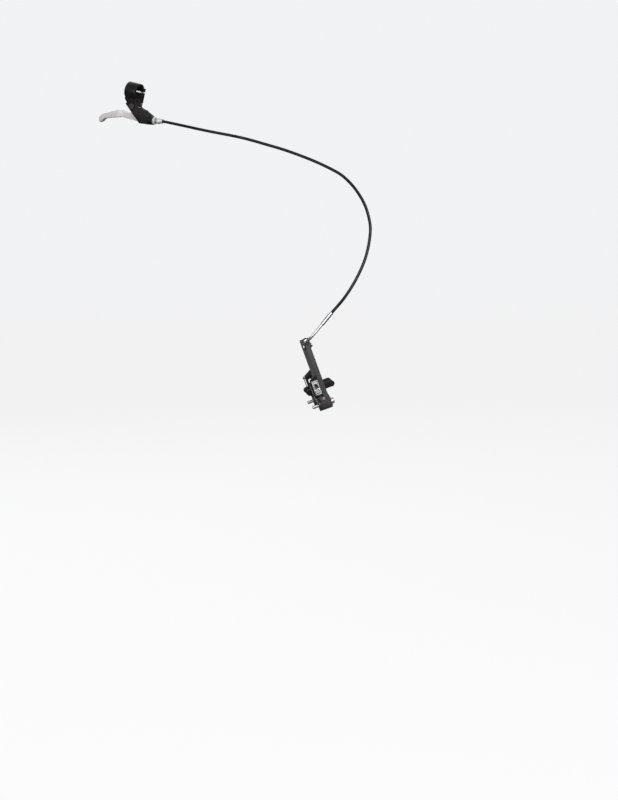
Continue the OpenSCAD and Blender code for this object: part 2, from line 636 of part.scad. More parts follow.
cup_face = web_in - 5.6;                  // front of the cupped washer
cup_ball = cup_face - 7;                  // centre of the ball that both washers share
module cup_washer(side) color([0.3, 0.3, 0.3]) on_side(side) difference() {
    pin_y(6.4, slot_x, pad_rise, cup_face, web_in);
    translate([slot_x, cup_ball, pad_rise]) sphere(r = 8.6);
    pin_y(pad_post_d / 2 + 0.2, slot_x, pad_rise, 0, 2 * post_y);
}
module dome_washer(side) color([0.3, 0.3, 0.3]) on_side(side) difference() {
    intersection() {
        pin_y(5.4, slot_x, pad_rise, pad_back + 1.8, web_in);
        translate([slot_x, cup_ball, pad_rise]) sphere(r = 8.5);
    }
    pin_y(pad_post_d / 2 + 0.2, slot_x, pad_rise, 0, 2 * post_y);
}
module flat_washer(side) color("silver") on_side(side) difference() {
    pin_y(5.1, slot_x, pad_rise, web_out + plate_t, web_out + plate_t + 1.4);
    pin_y(pad_post_d / 2 + 0.2, slot_x, pad_rise, 0, 2 * post_y);
}

module pad_nut(side) color("silver") on_side(side) difference() {
    translate([slot_x, web_out + plate_t + 6, pad_rise]) rotate([90, 30, 0])
        cylinder(r = 5.7, h = 4.6, $fn = 6);
    pin_y(pad_post_d / 2 + snug, slot_x, pad_rise, 0, 2 * post_y);
}

pad_angle = (pad_l - pad_h) / rim_r * 180 / PI;
pad_lean = atan2(rim_r, -wheel_x) - 0.06;
module brake_pad(side) color([0.07, 0.07, 0.07]) on_side(side) difference() {
    translate([wheel_x, 0, wheel_z]) rotate([90, 0, 0]) {
        rotate([0, 0, pad_lean - pad_angle / 2]) rotate_extrude(angle = pad_angle)
            translate([rim_r, 0]) polygon(rounded([[-pad_h / 2, -pad_face, 0.8],
                [pad_h / 2, -pad_face, 0.8], [pad_h / 2, -pad_back, 2], [-pad_h / 2, -pad_back, 2]]));
        for (a = [-0.5, 0.5]) rotate([0, 0, pad_lean + a * pad_angle])
            translate([rim_r, 0, -pad_back]) cylinder(r = pad_h / 2 - 0.02, h = pad_t);
    }
    translate([wheel_x, 0, wheel_z]) for (k = [-1:1]) rotate([0, 90 - pad_lean + 2.2 * k, 0])
        translate([-0.9, 0, rim_r - pad_h]) cube([1.8, pad_face + 1.6, 2 * pad_h]);
    pin_y(pad_post_d / 2, slot_x, pad_rise, pad_back - 5, pad_back + over);
}

module pivot_bush(side) color([0.6, 0.6, 0.6]) on_side(side) difference() {
    pin_x(bush_d / 2, post_y, 0, case_back, bush_front);
    pin_x(post_d / 2, post_y, 0, case_back - over, bush_front + over);
}

case_r = hub_r - 0.2;
coil_r = bush_d / 2 + 1.2;
spring_r = 0.7;
module spring_housing(side) color([0.1, 0.1, 0.1]) on_side(side) difference() {
    pin_x(case_r, post_y, 0, case_back, case_front);
    pin_x(bush_d / 2 + snug, post_y, 0, case_back - over, case_front + over);
    pin_x(coil_r + spring_r + 0.3, post_y, 0, case_back + 0.8, case_front + over);
    translate([case_back - over, post_y + coil_r - spring_r - 0.6, 1])
        cube([housing_t, 3 * spring_r + 2, hub_r]);
}

coil_pitch = 2.1;
coil_from = 450;                          // degrees of winding before the spring's arm
coil_end = case_front - 1.1 - coil_pitch * coil_from / 360;
spring_way = concat(
    [for (a = [coil_from:-30:30]) [coil_end + coil_pitch * a / 360, post_y + coil_r * cos(a),
                                   -coil_r * sin(a)]],
    smooth([[coil_end, post_y + coil_r, 0], [coil_end - 0.7, post_y + coil_r - 0.2, 5],
            [web_back - 0.8, post_y + 5.6, 10.5], [web_back - 1.9, post_y + 4.4, 16],
            [web_back - 1.9, peg_y - 2.1, 30], [web_back - 1.9, peg_y - 2.1, 44]], 3));
// Least gap between turns, measured on rings more than half a turn apart
spring_gap = min([for (i = [0:len(spring_way) - 8], j = [i + 7:len(spring_way) - 1])
    norm(spring_way[i] - spring_way[j])]) - 2 * spring_r;
echo(str("return_spring least gap ", spring_gap, " mm"));
module return_spring(side) color([0.75, 0.75, 0.75]) on_side(side) sweep(spring_way, spring_r, 8);

module tension_screw(side) color([0.55, 0.45, 0.4]) on_side(side) difference() {
    union() {
        pin_y(2 - snug, tension_x, tension_z, block_out - 3.6, block_out);
        pin_y(3.6, tension_x, tension_z, block_out, block_out + 1.6);
    }
    for (a = [0, 90]) translate([tension_x, block_out + 1.6, tension_z]) rotate([0, a, 0])
        cube([4, 1.6, 0.8], center = true);
}

module mount_bolt(side) color("silver") on_side(side) difference() {
    union() {
        pin_x(bolt_d / 2, post_y, 0, case_back - bolt_reach, bush_front + over);
        pin_x(7, post_y, 0, bush_front, bush_front + 1.4);
        pin_x(bolt_d * 0.8, post_y, 0, bush_front + 1.4, bush_front + 5);
    }
    translate([bush_front + 2, post_y, 0]) rotate([0, 90, 0]) cylinder(r = 2.9, h = 5, $fn = 6);
}

module anchor_bolt() color("silver") on_fork() {
    pin_x(anchor_d / 2, top_y, anchor_z, arm_back + 1, arm_front + 3);
    translate([arm_front + 2.6, top_y, anchor_z]) rotate([0, 90, 0])
        cylinder(r = 4.6, h = 3.6, $fn = 6);
}

module anchor_washer() color("silver") on_fork() difference() {
    pin_x(6, top_y, anchor_z, arm_front + 0.1, arm_front + 2.6);
    pin_x(anchor_d / 2 + snug, top_y, anchor_z, arm_front - over, arm_front + 4);
    translate([arm_front, top_y - 9, wire_z - wire_r - snug]) cube([wire_d + 0.12, 18, wire_d + 2 * snug]);
}

module pad_right() brake_pad(-1);
module pad_left() brake_pad(1);
module pad_post_right() pad_post(-1);
module pad_post_left() pad_post(1);
module cup_washer_right() cup_washer(-1);
module cup_washer_left() cup_washer(1);
module dome_washer_right() dome_washer(-1);
module dome_washer_left() dome_washer(1);
module flat_washer_right() flat_washer(-1);
module flat_washer_left() flat_washer(1);
module slot_plate_right() slot_plate(-1);
module slot_plate_left() slot_plate(1);
module pad_nut_right() pad_nut(-1);
module pad_nut_left() pad_nut(1);
module pivot_bush_right() pivot_bush(-1);
module pivot_bush_left() pivot_bush(1);
module spring_housing_right() spring_housing(-1);
module spring_housing_left() spring_housing(1);
module return_spring_right() return_spring(-1);
module return_spring_left() return_spring(1);
module tension_screw_right() tension_screw(-1);
module tension_screw_left() tension_screw(1);
module mount_bolt_right() mount_bolt(-1);
module mount_bolt_left() mount_bolt(1);

lever_bracket();
pinch_bolt();
lever_blade();
blade_bush();
pivot_bolt();
pivot_nut();
reach_screw();
cable_nipple();
lever_wire();
lock_ring();
barrel_adjuster();
upper_ferrule();
cable_housing();
noodle_ferrule();
noodle_pipe();
noodle_link();
link_pin();
rubber_boot();
brake_wire();
wire_end_cap();
anchor_bolt();
anchor_washer();
arm_right();
arm_left();
pad_right();
pad_left();
pad_post_right();
pad_post_left();
cup_washer_right();
cup_washer_left();
dome_washer_right();
dome_washer_left();
flat_washer_right();
flat_washer_left();
slot_plate_right();
slot_plate_left();
pad_nut_right();
pad_nut_left();
pivot_bush_right();
pivot_bush_left();
spring_housing_right();
spring_housing_left();
return_spring_right();
return_spring_left();
tension_screw_right();
tension_screw_left();
mount_bolt_right();
mount_bolt_left();
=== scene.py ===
"""Looks of a cruiser bicycle's front brake: the hand lever on its bar clamp, the cable in its
black housing, and the linear-pull brake with its guide pipe, arms, pads and springs."""
import json
import math

import bpy
from mathutils import Matrix, Vector


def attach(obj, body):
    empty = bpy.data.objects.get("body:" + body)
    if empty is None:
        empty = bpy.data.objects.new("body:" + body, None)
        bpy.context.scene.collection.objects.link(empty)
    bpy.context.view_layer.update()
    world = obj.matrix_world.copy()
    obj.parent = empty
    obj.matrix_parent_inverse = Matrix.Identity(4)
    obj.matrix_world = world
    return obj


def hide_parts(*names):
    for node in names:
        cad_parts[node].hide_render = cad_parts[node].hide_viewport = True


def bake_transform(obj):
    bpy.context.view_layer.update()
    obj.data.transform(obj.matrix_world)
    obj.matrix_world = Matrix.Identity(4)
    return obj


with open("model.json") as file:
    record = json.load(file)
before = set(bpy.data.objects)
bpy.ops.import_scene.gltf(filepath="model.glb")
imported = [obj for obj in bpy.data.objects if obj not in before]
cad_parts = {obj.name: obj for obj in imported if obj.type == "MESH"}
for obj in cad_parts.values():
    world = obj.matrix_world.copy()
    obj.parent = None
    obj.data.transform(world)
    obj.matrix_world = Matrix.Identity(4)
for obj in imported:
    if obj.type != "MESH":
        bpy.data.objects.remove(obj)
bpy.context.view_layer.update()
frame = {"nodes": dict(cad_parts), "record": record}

# ------------------------------------------------------------------ sizes, in millimetres
MM = 0.001
BAR_SPLAY, BAR_FALL = 33.6, 13.9          # how the bar runs, in degrees
ARM_RAKE = 20                             # backward lean of the brake arms, in degrees
BRAKE = (303, -265.7, -517.6)             # middle of the two pivot posts
PIVOT = (6.4, 0, -25.8)                   # lever pivot, in the bar's frame
NIPPLE_REACH, NIPPLE_DROP = 29.8, 37.6    # nipple from the pivot, and degrees below the bar
CABLE_TILT = 9                            # how the cable lifts from the bar's line, in degrees
HOUSING_D, WIRE_D = 5.0, 1.5
WIRE_LAY = 7                              # length of wire in which its strands turn once
RING_TO, BARREL_FROM = 24.5, 28.5         # along the cable's axis, from the nipple
HOUSING_FROM, BARREL_TO = 32.3, 39.5
ADJUSTER_R = 3.5
NOODLE_TILT = 30                          # how the guide pipe rises forward, in degrees
NOODLE_D = 4.6
NOODLE_L, FERRULE_L = 41, 21
SEAT_DEPTH = 14                           # how deep the housing sits in the ferrule
HOUSING_SEAT = NOODLE_L + FERRULE_L - SEAT_DEPTH
ARM_L, POST_Y = 98.4, 40
TOP_Y = POST_Y + 5                        # middle of the arm at its top
TIP_Z = ARM_L + 7.8                       # height of the guide pipe's tip
ARM_X = 2.9                               # middle of the arm's slim bar
PIPE_Y = -TOP_Y - 17                      # line of the guide pipe's straight part
NOODLE_BEND, NOODLE_TIP = 16, 12
BOOT_L, BOOT_RIBS = 40, 9
ARM_FRONT = 6.6
POST_R, PAD_BACK = 3, 27.5                # threaded post of a pad, and the pad's back
SLOT_X, PAD_RISE = -6.8, 22.8
PLATE_Y, PLATE_T, PLATE_W = 46, 1.5, 10.8
PLATE_LOW, PLATE_HIGH = 16.4, 41.2
PLATE_CORNER = 4
TOOTH_T, TEETH = 0.45, 16                 # height and number of the plate's ridges
SLOT_LOW, SLOT_HIGH = 19.2, 32.6          # ends of the plate's slot, at the post's middle
BLOCK_Y = 50.6                            # outer face of the block with the tension screw
TENSION_X, TENSION_Z = -2.3, 9
CASE_BACK, BUSH_FRONT = -13.9, 8.3        # behind and in front of the pivot barrel
CASE_T = 5.4                              # depth of the spring housing
SPRING_R = 0.7                            # half the thickness of the spring's wire
COIL_R, COIL_PITCH, COIL_WOUND = 6.7, 2.1, 450
WEB_BACK, PEG_Y, PEG_Z = -13.8, 45.5, 40
ANCHOR_Z, ANCHOR_R = 94.9, 2.5
WIRE_STRAIGHT, WIRE_PAST = 9, 8           # straight wire before the anchor and past it
TAIL_L = 30
BOLT_R = 3                                # thread of the bolt through an arm's pivot

# The housing's route between the adjuster and the ferrule, in metres
ROUTE = [(0.077, -0.057, -0.060), (0.122, -0.090, -0.071), (0.177, -0.123, -0.083),
         (0.218, -0.145, -0.095), (0.252, -0.163, -0.106), (0.292, -0.185, -0.122),
         (0.326, -0.205, -0.139), (0.344, -0.218, -0.152), (0.3604, -0.234, -0.172),
         (0.3732, -0.250, -0.197), (0.379, -0.264, -0.223), (0.3786, -0.275, -0.243),
         (0.3724, -0.289, -0.270), (0.3628, -0.302, -0.294), (0.347, -0.315, -0.322),
         (0.329, -0.3244, -0.347)]


# ------------------------------------------------------------------ frames
def turn(axis, degrees):
    return Matrix.Rotation(math.radians(degrees), 4, axis)


def move(x, y, z):
    return Matrix.Translation((x, y, z))


# Each frame takes millimetres in the sub-part's own directions to metres in the row frame
ROW = Matrix.Scale(MM, 4)
ON_BAR = ROW @ turn("Z", -BAR_SPLAY) @ turn("Y", BAR_FALL)
ON_FORK = ROW @ move(*BRAKE) @ turn("Y", -ARM_RAKE)
ON_X, ON_Y = turn("Y", 90), turn("X", -90)   # a turned piece's z laid along +X or +Y
NIPPLE = (PIVOT[0] + NIPPLE_REACH * math.cos(math.radians(NIPPLE_DROP)), 0,
          PIVOT[2] - NIPPLE_REACH * math.sin(math.radians(NIPPLE_DROP)))
ON_CABLE = ON_BAR @ move(*NIPPLE) @ turn("Y", 90 - CABLE_TILT)
ON_NOODLE = ON_FORK @ move(ARM_X, PIPE_Y, TIP_Z) @ turn("Y", 90 - NOODLE_TILT)
MIRROR = Matrix.Diagonal((1, -1, 1, 1))
ON_SIDE = {"left": ON_FORK, "right": ON_FORK @ MIRROR}

# ------------------------------------------------------------------ camera and studio
CAMERA_AT = (-0.0613, -3.5657, -0.1800)
CAMERA_YAW, CAMERA_DIP = 5.883, 5.801     # degrees towards +X from +Y, and below level
CAMERA_LENS, SENSOR = 90.8, 36            # in millimetres
FLOOR_Z, FLOOR_SIZE = -1.091, 24
OBJECT_AT, OBJECT_LEFT = (0.15, -0.15, -0.25), (0.1, -0.15, -0.25)
# name, place, aim, size in metres, watts, colour
LAMPS = [("key", (1.1, -2.6, 2.3), OBJECT_AT, 2.0, 62, (1, 0.99, 0.97)),
         ("front", (-0.4, -4.6, 0.5), OBJECT_AT, 2.2, 44, (1, 1, 1)),
         ("fill", (-2.6, -2.4, 0.5), OBJECT_LEFT, 1.6, 18, (0.96, 0.98, 1)),
         ("back", (-0.6, 2.9, 1.9), OBJECT_LEFT, 2.2, 36, (1, 1, 1))]
SKY_SEEN, SKY_FELT = 0.9, 0.24            # brightness to the camera, and to the object
FLOOR_GLOW = 0.84                         # seen by the camera alone


def make_camera():
    bpy.ops.object.camera_add(location=CAMERA_AT)
    camera = bpy.context.object
    camera.rotation_euler = (math.radians(90 - CAMERA_DIP), 0, math.radians(-CAMERA_YAW))
    camera.data.lens = CAMERA_LENS
    camera.data.sensor_width = SENSOR
    bpy.context.scene.camera = camera
    bpy.context.scene.view_settings.view_transform = "Standard"


def soft_light(name, at, aim, size, power, colour):
    bpy.ops.object.light_add(type="AREA", location=at)
    lamp = bpy.context.object
    lamp.name = name
    lamp.data.size = size
    lamp.data.energy = power
    lamp.data.color = colour
    lamp.rotation_euler = (Vector(aim) - Vector(at)).to_track_quat("-Z", "Y").to_euler()


def seen_only(tree, seen, felt):
    """A strength that the camera sees as one value and that lights the object as another."""
    path = tree.nodes.new("ShaderNodeLightPath")
    level = tree.nodes.new("ShaderNodeMapRange")
    level.inputs["To Min"].default_value = felt
    level.inputs["To Max"].default_value = seen
    tree.links.new(path.outputs["Is Camera Ray"], level.inputs["Value"])
    return level.outputs["Result"]


def make_studio():
    for lamp in LAMPS:
        soft_light(*lamp)
    world = bpy.data.worlds.new("studio")
    world.use_nodes = True
    sky = world.node_tree.nodes["Background"]
    sky.inputs["Color"].default_value = (0.985, 0.99, 1, 1)
    strength = seen_only(world.node_tree, SKY_SEEN, SKY_FELT)
    world.node_tree.links.new(strength, sky.inputs["Strength"])
    bpy.context.scene.world = world
    bpy.ops.mesh.primitive_plane_add(size=FLOOR_SIZE, location=(0, 0, FLOOR_Z))
    floor = bpy.context.object
    floor.name = "floor"
    pale = bpy.data.materials.new("pale floor")
    pale.use_nodes = True
    surface = pale.node_tree.nodes["Principled BSDF"]
    surface.inputs["Base Color"].default_value = (0.16, 0.16, 0.16, 1)
    surface.inputs["Roughness"].default_value = 0.9
    surface.inputs["Emission Color"].default_value = (0.99, 0.99, 1, 1)
    glow = seen_only(pale.node_tree, FLOOR_GLOW, 0.0)
    pale.node_tree.links.new(glow, surface.inputs["Emission Strength"])
    floor.data.materials.append(pale)


# ------------------------------------------------------------------ working with pieces
WELD, FLAT = 0.004, 0.8                   # a CAD mesh's doubled points, and degrees in one face
SEAM = 0.0005                             # doubled points of a turned shape
CAST_SMOOTH = 38                          # edges of a CAD node up to this angle shade smoothly


def pick(obj):
    """Selects one object and nothing else."""
    if bpy.context.object and bpy.context.object.mode != "OBJECT":
        bpy.ops.object.mode_set(mode="OBJECT")
    bpy.ops.object.select_all(action="DESELECT")
    obj.select_set(True)
    bpy.context.view_layer.objects.active = obj


def apply_all(obj):
    pick(obj)
    for modifier in list(obj.modifiers):
        bpy.ops.object.modifier_apply(modifier=modifier.name)


def round_edges(obj, width, angle=32, segments=3):
    """Rounds the edges that are sharper than an angle."""
    bevel = obj.modifiers.new("rounded edges", "BEVEL")
    bevel.width = width
    bevel.segments = segments
    bevel.limit_method = "ANGLE"
    bevel.angle_limit = math.radians(angle)
    bevel.miter_outer = "MITER_ARC"
    apply_all(obj)


def finish_piece(obj, name, where, body, material, stands_for=(), smooth=34):
    """Puts a piece made in millimetres in its place, with its surface.

    A piece that is given no body here is blended between two bodies afterwards.
    """
    pick(obj)
    obj.name = obj.data.name = name
    obj.matrix_world = where @ obj.matrix_world
    bpy.ops.object.transform_apply(location=True, rotation=True, scale=True)
    bpy.ops.object.mode_set(mode="EDIT")
    bpy.ops.mesh.select_all(action="SELECT")
    bpy.ops.mesh.normals_make_consistent(inside=False)
    bpy.ops.object.mode_set(mode="OBJECT")
    bpy.ops.object.shade_smooth_by_angle(angle=math.radians(smooth))
    obj.data.materials.clear()
    obj.data.materials.append(material)
    if body:
        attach(obj, body)
    if stands_for:
        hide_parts(*stands_for)


def body_of(node):
    for body, members in frame["record"]["behaviour"]["bodies"].items():
        if node in members:
            return body


def softened(node, material, width, segments=3, angle=32):
    """A copy of a CAD node with its edges rounded as casting, forging or deburring leaves them."""
    obj = bpy.data.objects.new(node + "_finished", frame["nodes"][node].data.copy())
    bpy.context.scene.collection.objects.link(obj)
    pick(obj)
    bpy.ops.object.mode_set(mode="EDIT")
    bpy.ops.mesh.select_all(action="SELECT")
    bpy.ops.mesh.remove_doubles(threshold=WELD * MM)
    bpy.ops.mesh.dissolve_limited(angle_limit=math.radians(FLAT))
    bpy.ops.object.mode_set(mode="OBJECT")
    round_edges(obj, width * MM, angle, segments)
    finish_piece(obj, node + "_finished", Matrix.Identity(4), body_of(node),
                 material, [node], CAST_SMOOTH)


def turned(profile, sides=48):
    """A shape turned round z from (radius, height) points, hollow if it ends where it starts."""
    hollow = profile[0] == profile[-1]
    radius, height = profile[0]
    bpy.ops.object.select_all(action="DESELECT")
    bpy.ops.mesh.primitive_circle_add(vertices=sides, radius=radius, location=(0, 0, height),
                                      fill_type="NOTHING" if hollow else "NGON")
    obj = bpy.context.object
    bpy.ops.object.transform_apply(location=True, rotation=True, scale=True)
    bpy.ops.object.mode_set(mode="EDIT")
    bpy.ops.mesh.select_mode(type="EDGE")
    bpy.ops.mesh.select_all(action="SELECT")
    for next_radius, next_height in profile[1:]:
        bpy.ops.mesh.extrude_region_move(
            TRANSFORM_OT_translate={"value": (0, 0, next_height - height)})
        if abs(next_radius - radius) > 1e-6:
            k = next_radius / radius
            bpy.ops.transform.resize(value=(k, k, 1), center_override=(0, 0, next_height))
        radius, height = next_radius, next_height
    if not hollow:
        bpy.ops.mesh.edge_face_add()
    bpy.ops.mesh.select_all(action="SELECT")
    bpy.ops.mesh.remove_doubles(threshold=SEAM)
    bpy.ops.object.mode_set(mode="OBJECT")
    return obj


def cut(obj, tool, operation="DIFFERENCE"):
    """Cuts a piece with a second shape, or keeps what both hold, and takes the second away."""
    modifier = obj.modifiers.new("cut", "BOOLEAN")
    modifier.object = tool
    modifier.operation = operation
    modifier.solver = "EXACT"
    apply_all(obj)
    bpy.data.objects.remove(tool, do_unlink=True)
    return obj


def prism(radius, low, high, sides=6, spin=0):
    bpy.ops.object.select_all(action="DESELECT")
    bpy.ops.mesh.primitive_cylinder_add(vertices=sides, radius=radius, depth=high - low,
                                        location=(0, 0, (low + high) / 2),
                                        rotation=(0, 0, math.radians(spin)))
    obj = bpy.context.object
    bpy.ops.object.transform_apply(location=True, rotation=True, scale=True)
    return obj


def block(size, at):
    bpy.ops.object.select_all(action="DESELECT")
    bpy.ops.mesh.primitive_cube_add(size=1, location=at, scale=size)
    obj = bpy.context.object
    bpy.ops.object.transform_apply(location=True, rotation=True, scale=True)
    return obj


def joined(*parts):
    pick(parts[0])
    for part in parts:
        part.select_set(True)
    bpy.ops.object.join()
    return bpy.context.object


def squeeze(obj, low, high, kx, ky):
    """Presses the part of a piece between two heights, as crimping pliers do."""
    pick(obj)
    for vertex in obj.data.vertices:
        vertex.select = low < vertex.co.z < high
    for edge in obj.data.edges:
        edge.select = all(obj.data.vertices[i].select for i in edge.vertices)
    for polygon in obj.data.polygons:
        polygon.select = all(obj.data.vertices[i].select for i in polygon.vertices)
    bpy.ops.object.mode_set(mode="EDIT")
    bpy.ops.mesh.select_mode(type="VERT")
    bpy.ops.transform.resize(value=(kx, ky, 1), center_override=(0, 0, (low + high) / 2))
    bpy.ops.object.mode_set(mode="OBJECT")


def hexagon_nut(radius, low, high, bore=0, spin=0):
    """A nut or bolt head: six flats, corners turned off at both faces, and its bore."""
    flat = radius * 0.87                  # a little over half the width across the flats
    edge = (radius - flat) * 0.6
    obj = prism(radius, low, high, 6, spin)
    cut(obj, turned([(flat, low - 0.01), (radius + 0.02, low + edge), (radius + 0.02, high - edge),
                     (flat, high + 0.01)], 48), "INTERSECT")
    if bore:
        cut(obj, turned([(bore + 0.5, low - 0.5), (bore, low + 0.4), (bore, high - 0.4),
                         (bore + 0.5, high + 0.5)], 40))
    return obj


def smooth_curve(points, steps):
    """A smooth curve through a list of points."""
    points = [Vector(p) for p in points]
    last = len(points) - 1
    out = []
    for i in range(last):
        a, b, c, d = points[max(i - 1, 0)], points[i], points[i + 1], points[min(i + 2, last)]
        for k in range(steps):
            t = k / steps
            out.append(0.5 * (2 * b + (c - a) * t + (2 * a - 5 * b + 4 * c - d) * t ** 2
                              + (3 * b - 3 * c + d - a) * t ** 3))
    return out + [points[last]]


def rings_along(path):
    """(point, side, other side) for each point of a path, carried along it without twisting."""
    side = None
    for i, point in enumerate(path):
        ahead = (path[min(i + 1, len(path) - 1)] - path[max(i - 1, 0)]).normalized()
        if side is None:
            side = ahead.cross(Vector((0.13, 0.31, 0.94)))
        side = (side - ahead * side.dot(ahead)).normalized()
        yield point, side, ahead.cross(side)


def tube(path, radius, sides):
    """A round tube along a path, with the turn round it and the length so far as its UV map."""
    points, faces, lengths = [], [], [0]
    for a, b in zip(path, path[1:]):
        lengths.append(lengths[-1] + (b - a).length)
    for centre, side, other in rings_along(path):
        for k in range(sides):
            phase = 2 * math.pi * k / sides
            points.append(centre + radius * (side * math.cos(phase) + other * math.sin(phase)))
    for i in range(len(path) - 1):
        for k in range(sides):
            j = (k + 1) % sides
            faces.append((i * sides + k, i * sides + j, (i + 1) * sides + j, (i + 1) * sides + k))
    end = (len(path) - 1) * sides
    faces += [tuple(range(sides))[::-1], tuple(range(end, end + sides))]
    mesh = bpy.data.meshes.new("tube")
    mesh.from_pydata(points, [], faces)
    layer = mesh.uv_layers.new(name="along")
    for polygon in mesh.polygons:
        spots = {i: divmod(mesh.loops[i].vertex_index, sides) for i in polygon.loop_indices}
        closes = {k for _, k in spots.values()} >= {0, sides - 1}
        for i, (ring, k) in spots.items():
            round_by = 1.0 if closes and k == 0 else k / sides
            layer.data[i].uv = (round_by, lengths[ring])
    obj = bpy.data.objects.new("tube", mesh)
    bpy.context.scene.collection.objects.link(obj)
    return obj


def stranded(path, radius, strands=6, sides=6):
    """A wire rope along a path: strands wound round a core, all in millimetres."""
    strand = radius / 3
    wound = [[] for _ in range(strands + 1)]
    travelled, before = 0, path[0]
    for centre, side, other in rings_along(path):
        travelled += (centre - before).length
        before = centre
        wound[0].append(centre)
        for k in range(strands):
            phase = 2 * math.pi * (k / strands + travelled / WIRE_LAY)
            wound[k + 1].append(centre + (radius - strand)
                                * (side * math.cos(phase) + other * math.sin(phase)))
    return joined(*[tube(line, strand, sides) for line in wound])


def ridges(radius, low, high, pitch):
    """The profile of a screw thread between two heights."""
    depth = 0.5 * pitch
    count = max(1, round((high - low) / pitch))
    step = (high - low) / count
    out = []
    for k in range(count):
        foot = low + k * step
        out += [(radius - depth, foot + 0.08 * step), (radius, foot + 0.45 * step),
                (radius, foot + 0.6 * step)]
    return out + [(radius - depth, high)]


# ------------------------------------------------------------------ shared surface effects
def feed(tree, socket, value):
    """Links a socket to what another node puts out, or sets it to a plain value."""
    if isinstance(value, bpy.types.NodeSocket):
        tree.links.new(value, socket)
    else:
        socket.default_value = value


def node_in(tree, kind, values=None, **settings):
    """A new node with its settings, and with values on its sockets by name or number."""
    node = tree.nodes.new(kind)
    for key, value in settings.items():
        setattr(node, key, value)
    for key, value in (values or {}).items():
        feed(tree, node.inputs[key], value)
    return node


def maths(tree, operation, *values, clamp=False):
    node = node_in(tree, "ShaderNodeMath", dict(enumerate(values)), operation=operation,
                   use_clamp=clamp)
    return node.outputs["Value"]


def dot(tree, a, b):
    node = node_in(tree, "ShaderNodeVectorMath", {0: a, 1: b}, operation="DOT_PRODUCT")
    return node.outputs["Value"]


def spread(tree, value, start, end, low=0, high=1):
    """Takes start to low and end to high, and goes no further."""
    node = node_in(tree, "ShaderNodeMapRange", {"Value": value, "From Min": start,
                                                "From Max": end, "To Min": low, "To Max": high})
    return node.outputs["Result"]


def noise(tree, vector, scale, detail, roughness=0.5):
    node = node_in(tree, "ShaderNodeTexNoise", {"Vector": vector, "Scale": scale,
                                                "Detail": detail, "Roughness": roughness})
    return node.outputs["Fac"]


def effect_group(name, inputs, outputs):
    """A node group with (name, socket type, value) inputs, and what it is given and puts out."""
    group = bpy.data.node_groups.new(name, "ShaderNodeTree")
    for label, kind, value in inputs:
        socket = group.interface.new_socket(label, in_out="INPUT", socket_type=kind)
        if value is not None:
            socket.default_value = value
    for label, kind in outputs:
        group.interface.new_socket(label, in_out="OUTPUT", socket_type=kind)
    given, out = group.nodes.new("NodeGroupInput"), group.nodes.new("NodeGroupOutput")
    return group, given.outputs, out.inputs


FLOAT, VECTOR = "NodeSocketFloat", "NodeSocketVector"


def edge_wear_group():
    """Mask of the edges that hands, tools and knocks have rubbed."""
    tree, given, out = effect_group("Edge wear",
                                    [("Vector", VECTOR, None), ("Width", FLOAT, 0.0006),
                                     ("Amount", FLOAT, 0.6), ("Scale", FLOAT, 400)],
                                    [("Mask", FLOAT)])
    rounded = node_in(tree, "ShaderNodeBevel", {"Radius": given["Width"]}, samples=4)
    surface = node_in(tree, "ShaderNodeNewGeometry")
    facing = dot(tree, rounded.outputs["Normal"], surface.outputs["Normal"])
    edge = spread(tree, facing, 0.985, 0.86)
    broken = spread(tree, noise(tree, given["Vector"], given["Scale"], 4), 0.42, 0.62)
    both = maths(tree, "MULTIPLY", edge, broken)
    feed(tree, out["Mask"], maths(tree, "MULTIPLY", both, given["Amount"], clamp=True))
    return tree


def dust_group():
    """Mask of road dust: more on what faces up, in soft patches."""
    tree, given, out = effect_group("Road dust",
                                    [("Vector", VECTOR, None), ("Scale", FLOAT, 90),
                                     ("Amount", FLOAT, 0.25)], [("Mask", FLOAT)])
    surface = node_in(tree, "ShaderNodeNewGeometry")
    parts = node_in(tree, "ShaderNodeSeparateXYZ", {0: surface.outputs["Normal"]})
    upward = spread(tree, parts.outputs["Z"], -0.3, 1, 0.25, 1)
    cloud = spread(tree, noise(tree, given["Vector"], given["Scale"], 6, 0.65), 0.35, 0.75)
    both = maths(tree, "MULTIPLY", upward, cloud)
    feed(tree, out["Mask"], maths(tree, "MULTIPLY", both, given["Amount"], clamp=True))
    return tree


def grain_group():
    """Fine grain: its height for a bump, and a slower tone that varies over the piece."""
    tree, given, out = effect_group("Surface grain",
                                    [("Vector", VECTOR, None), ("Fine", FLOAT, 3000),
                                     ("Coarse", FLOAT, 60)], [("Height", FLOAT), ("Tone", FLOAT)])
    feed(tree, out["Height"], noise(tree, given["Vector"], given["Fine"], 3))
    feed(tree, out["Tone"], noise(tree, given["Vector"], given["Coarse"], 5, 0.6))
    return tree


def band_group():
    """Mask that is full from Low to High along a line, and fades over Soft at both ends."""
    tree, given, out = effect_group("Band",
                                    [("Vector", VECTOR, None), ("Along", VECTOR, None),
                                     ("Low", FLOAT, 0), ("High", FLOAT, 1),
                                     ("Soft", FLOAT, 0.0002)], [("Mask", FLOAT)])
    along = dot(tree, given["Vector"], given["Along"])
    masks = []
    for end, sign in (("Low", 1), ("High", -1)):
        past = maths(tree, "SUBTRACT", along, given[end])
        scaled = maths(tree, "DIVIDE", past, given["Soft"])
        masks.append(maths(tree, "MULTIPLY_ADD", scaled, sign, 0.5, clamp=True))
    feed(tree, out["Mask"], maths(tree, "MULTIPLY", *masks))
    return tree


EDGE_WEAR, DUST, GRAIN, BAND = edge_wear_group(), dust_group(), grain_group(), band_group()
ROAD_DUST = (0.32, 0.29, 0.25, 1)
UNDER, OVER, MIXED = 6, 7, 2              # the colour sockets of a Mix node, by number


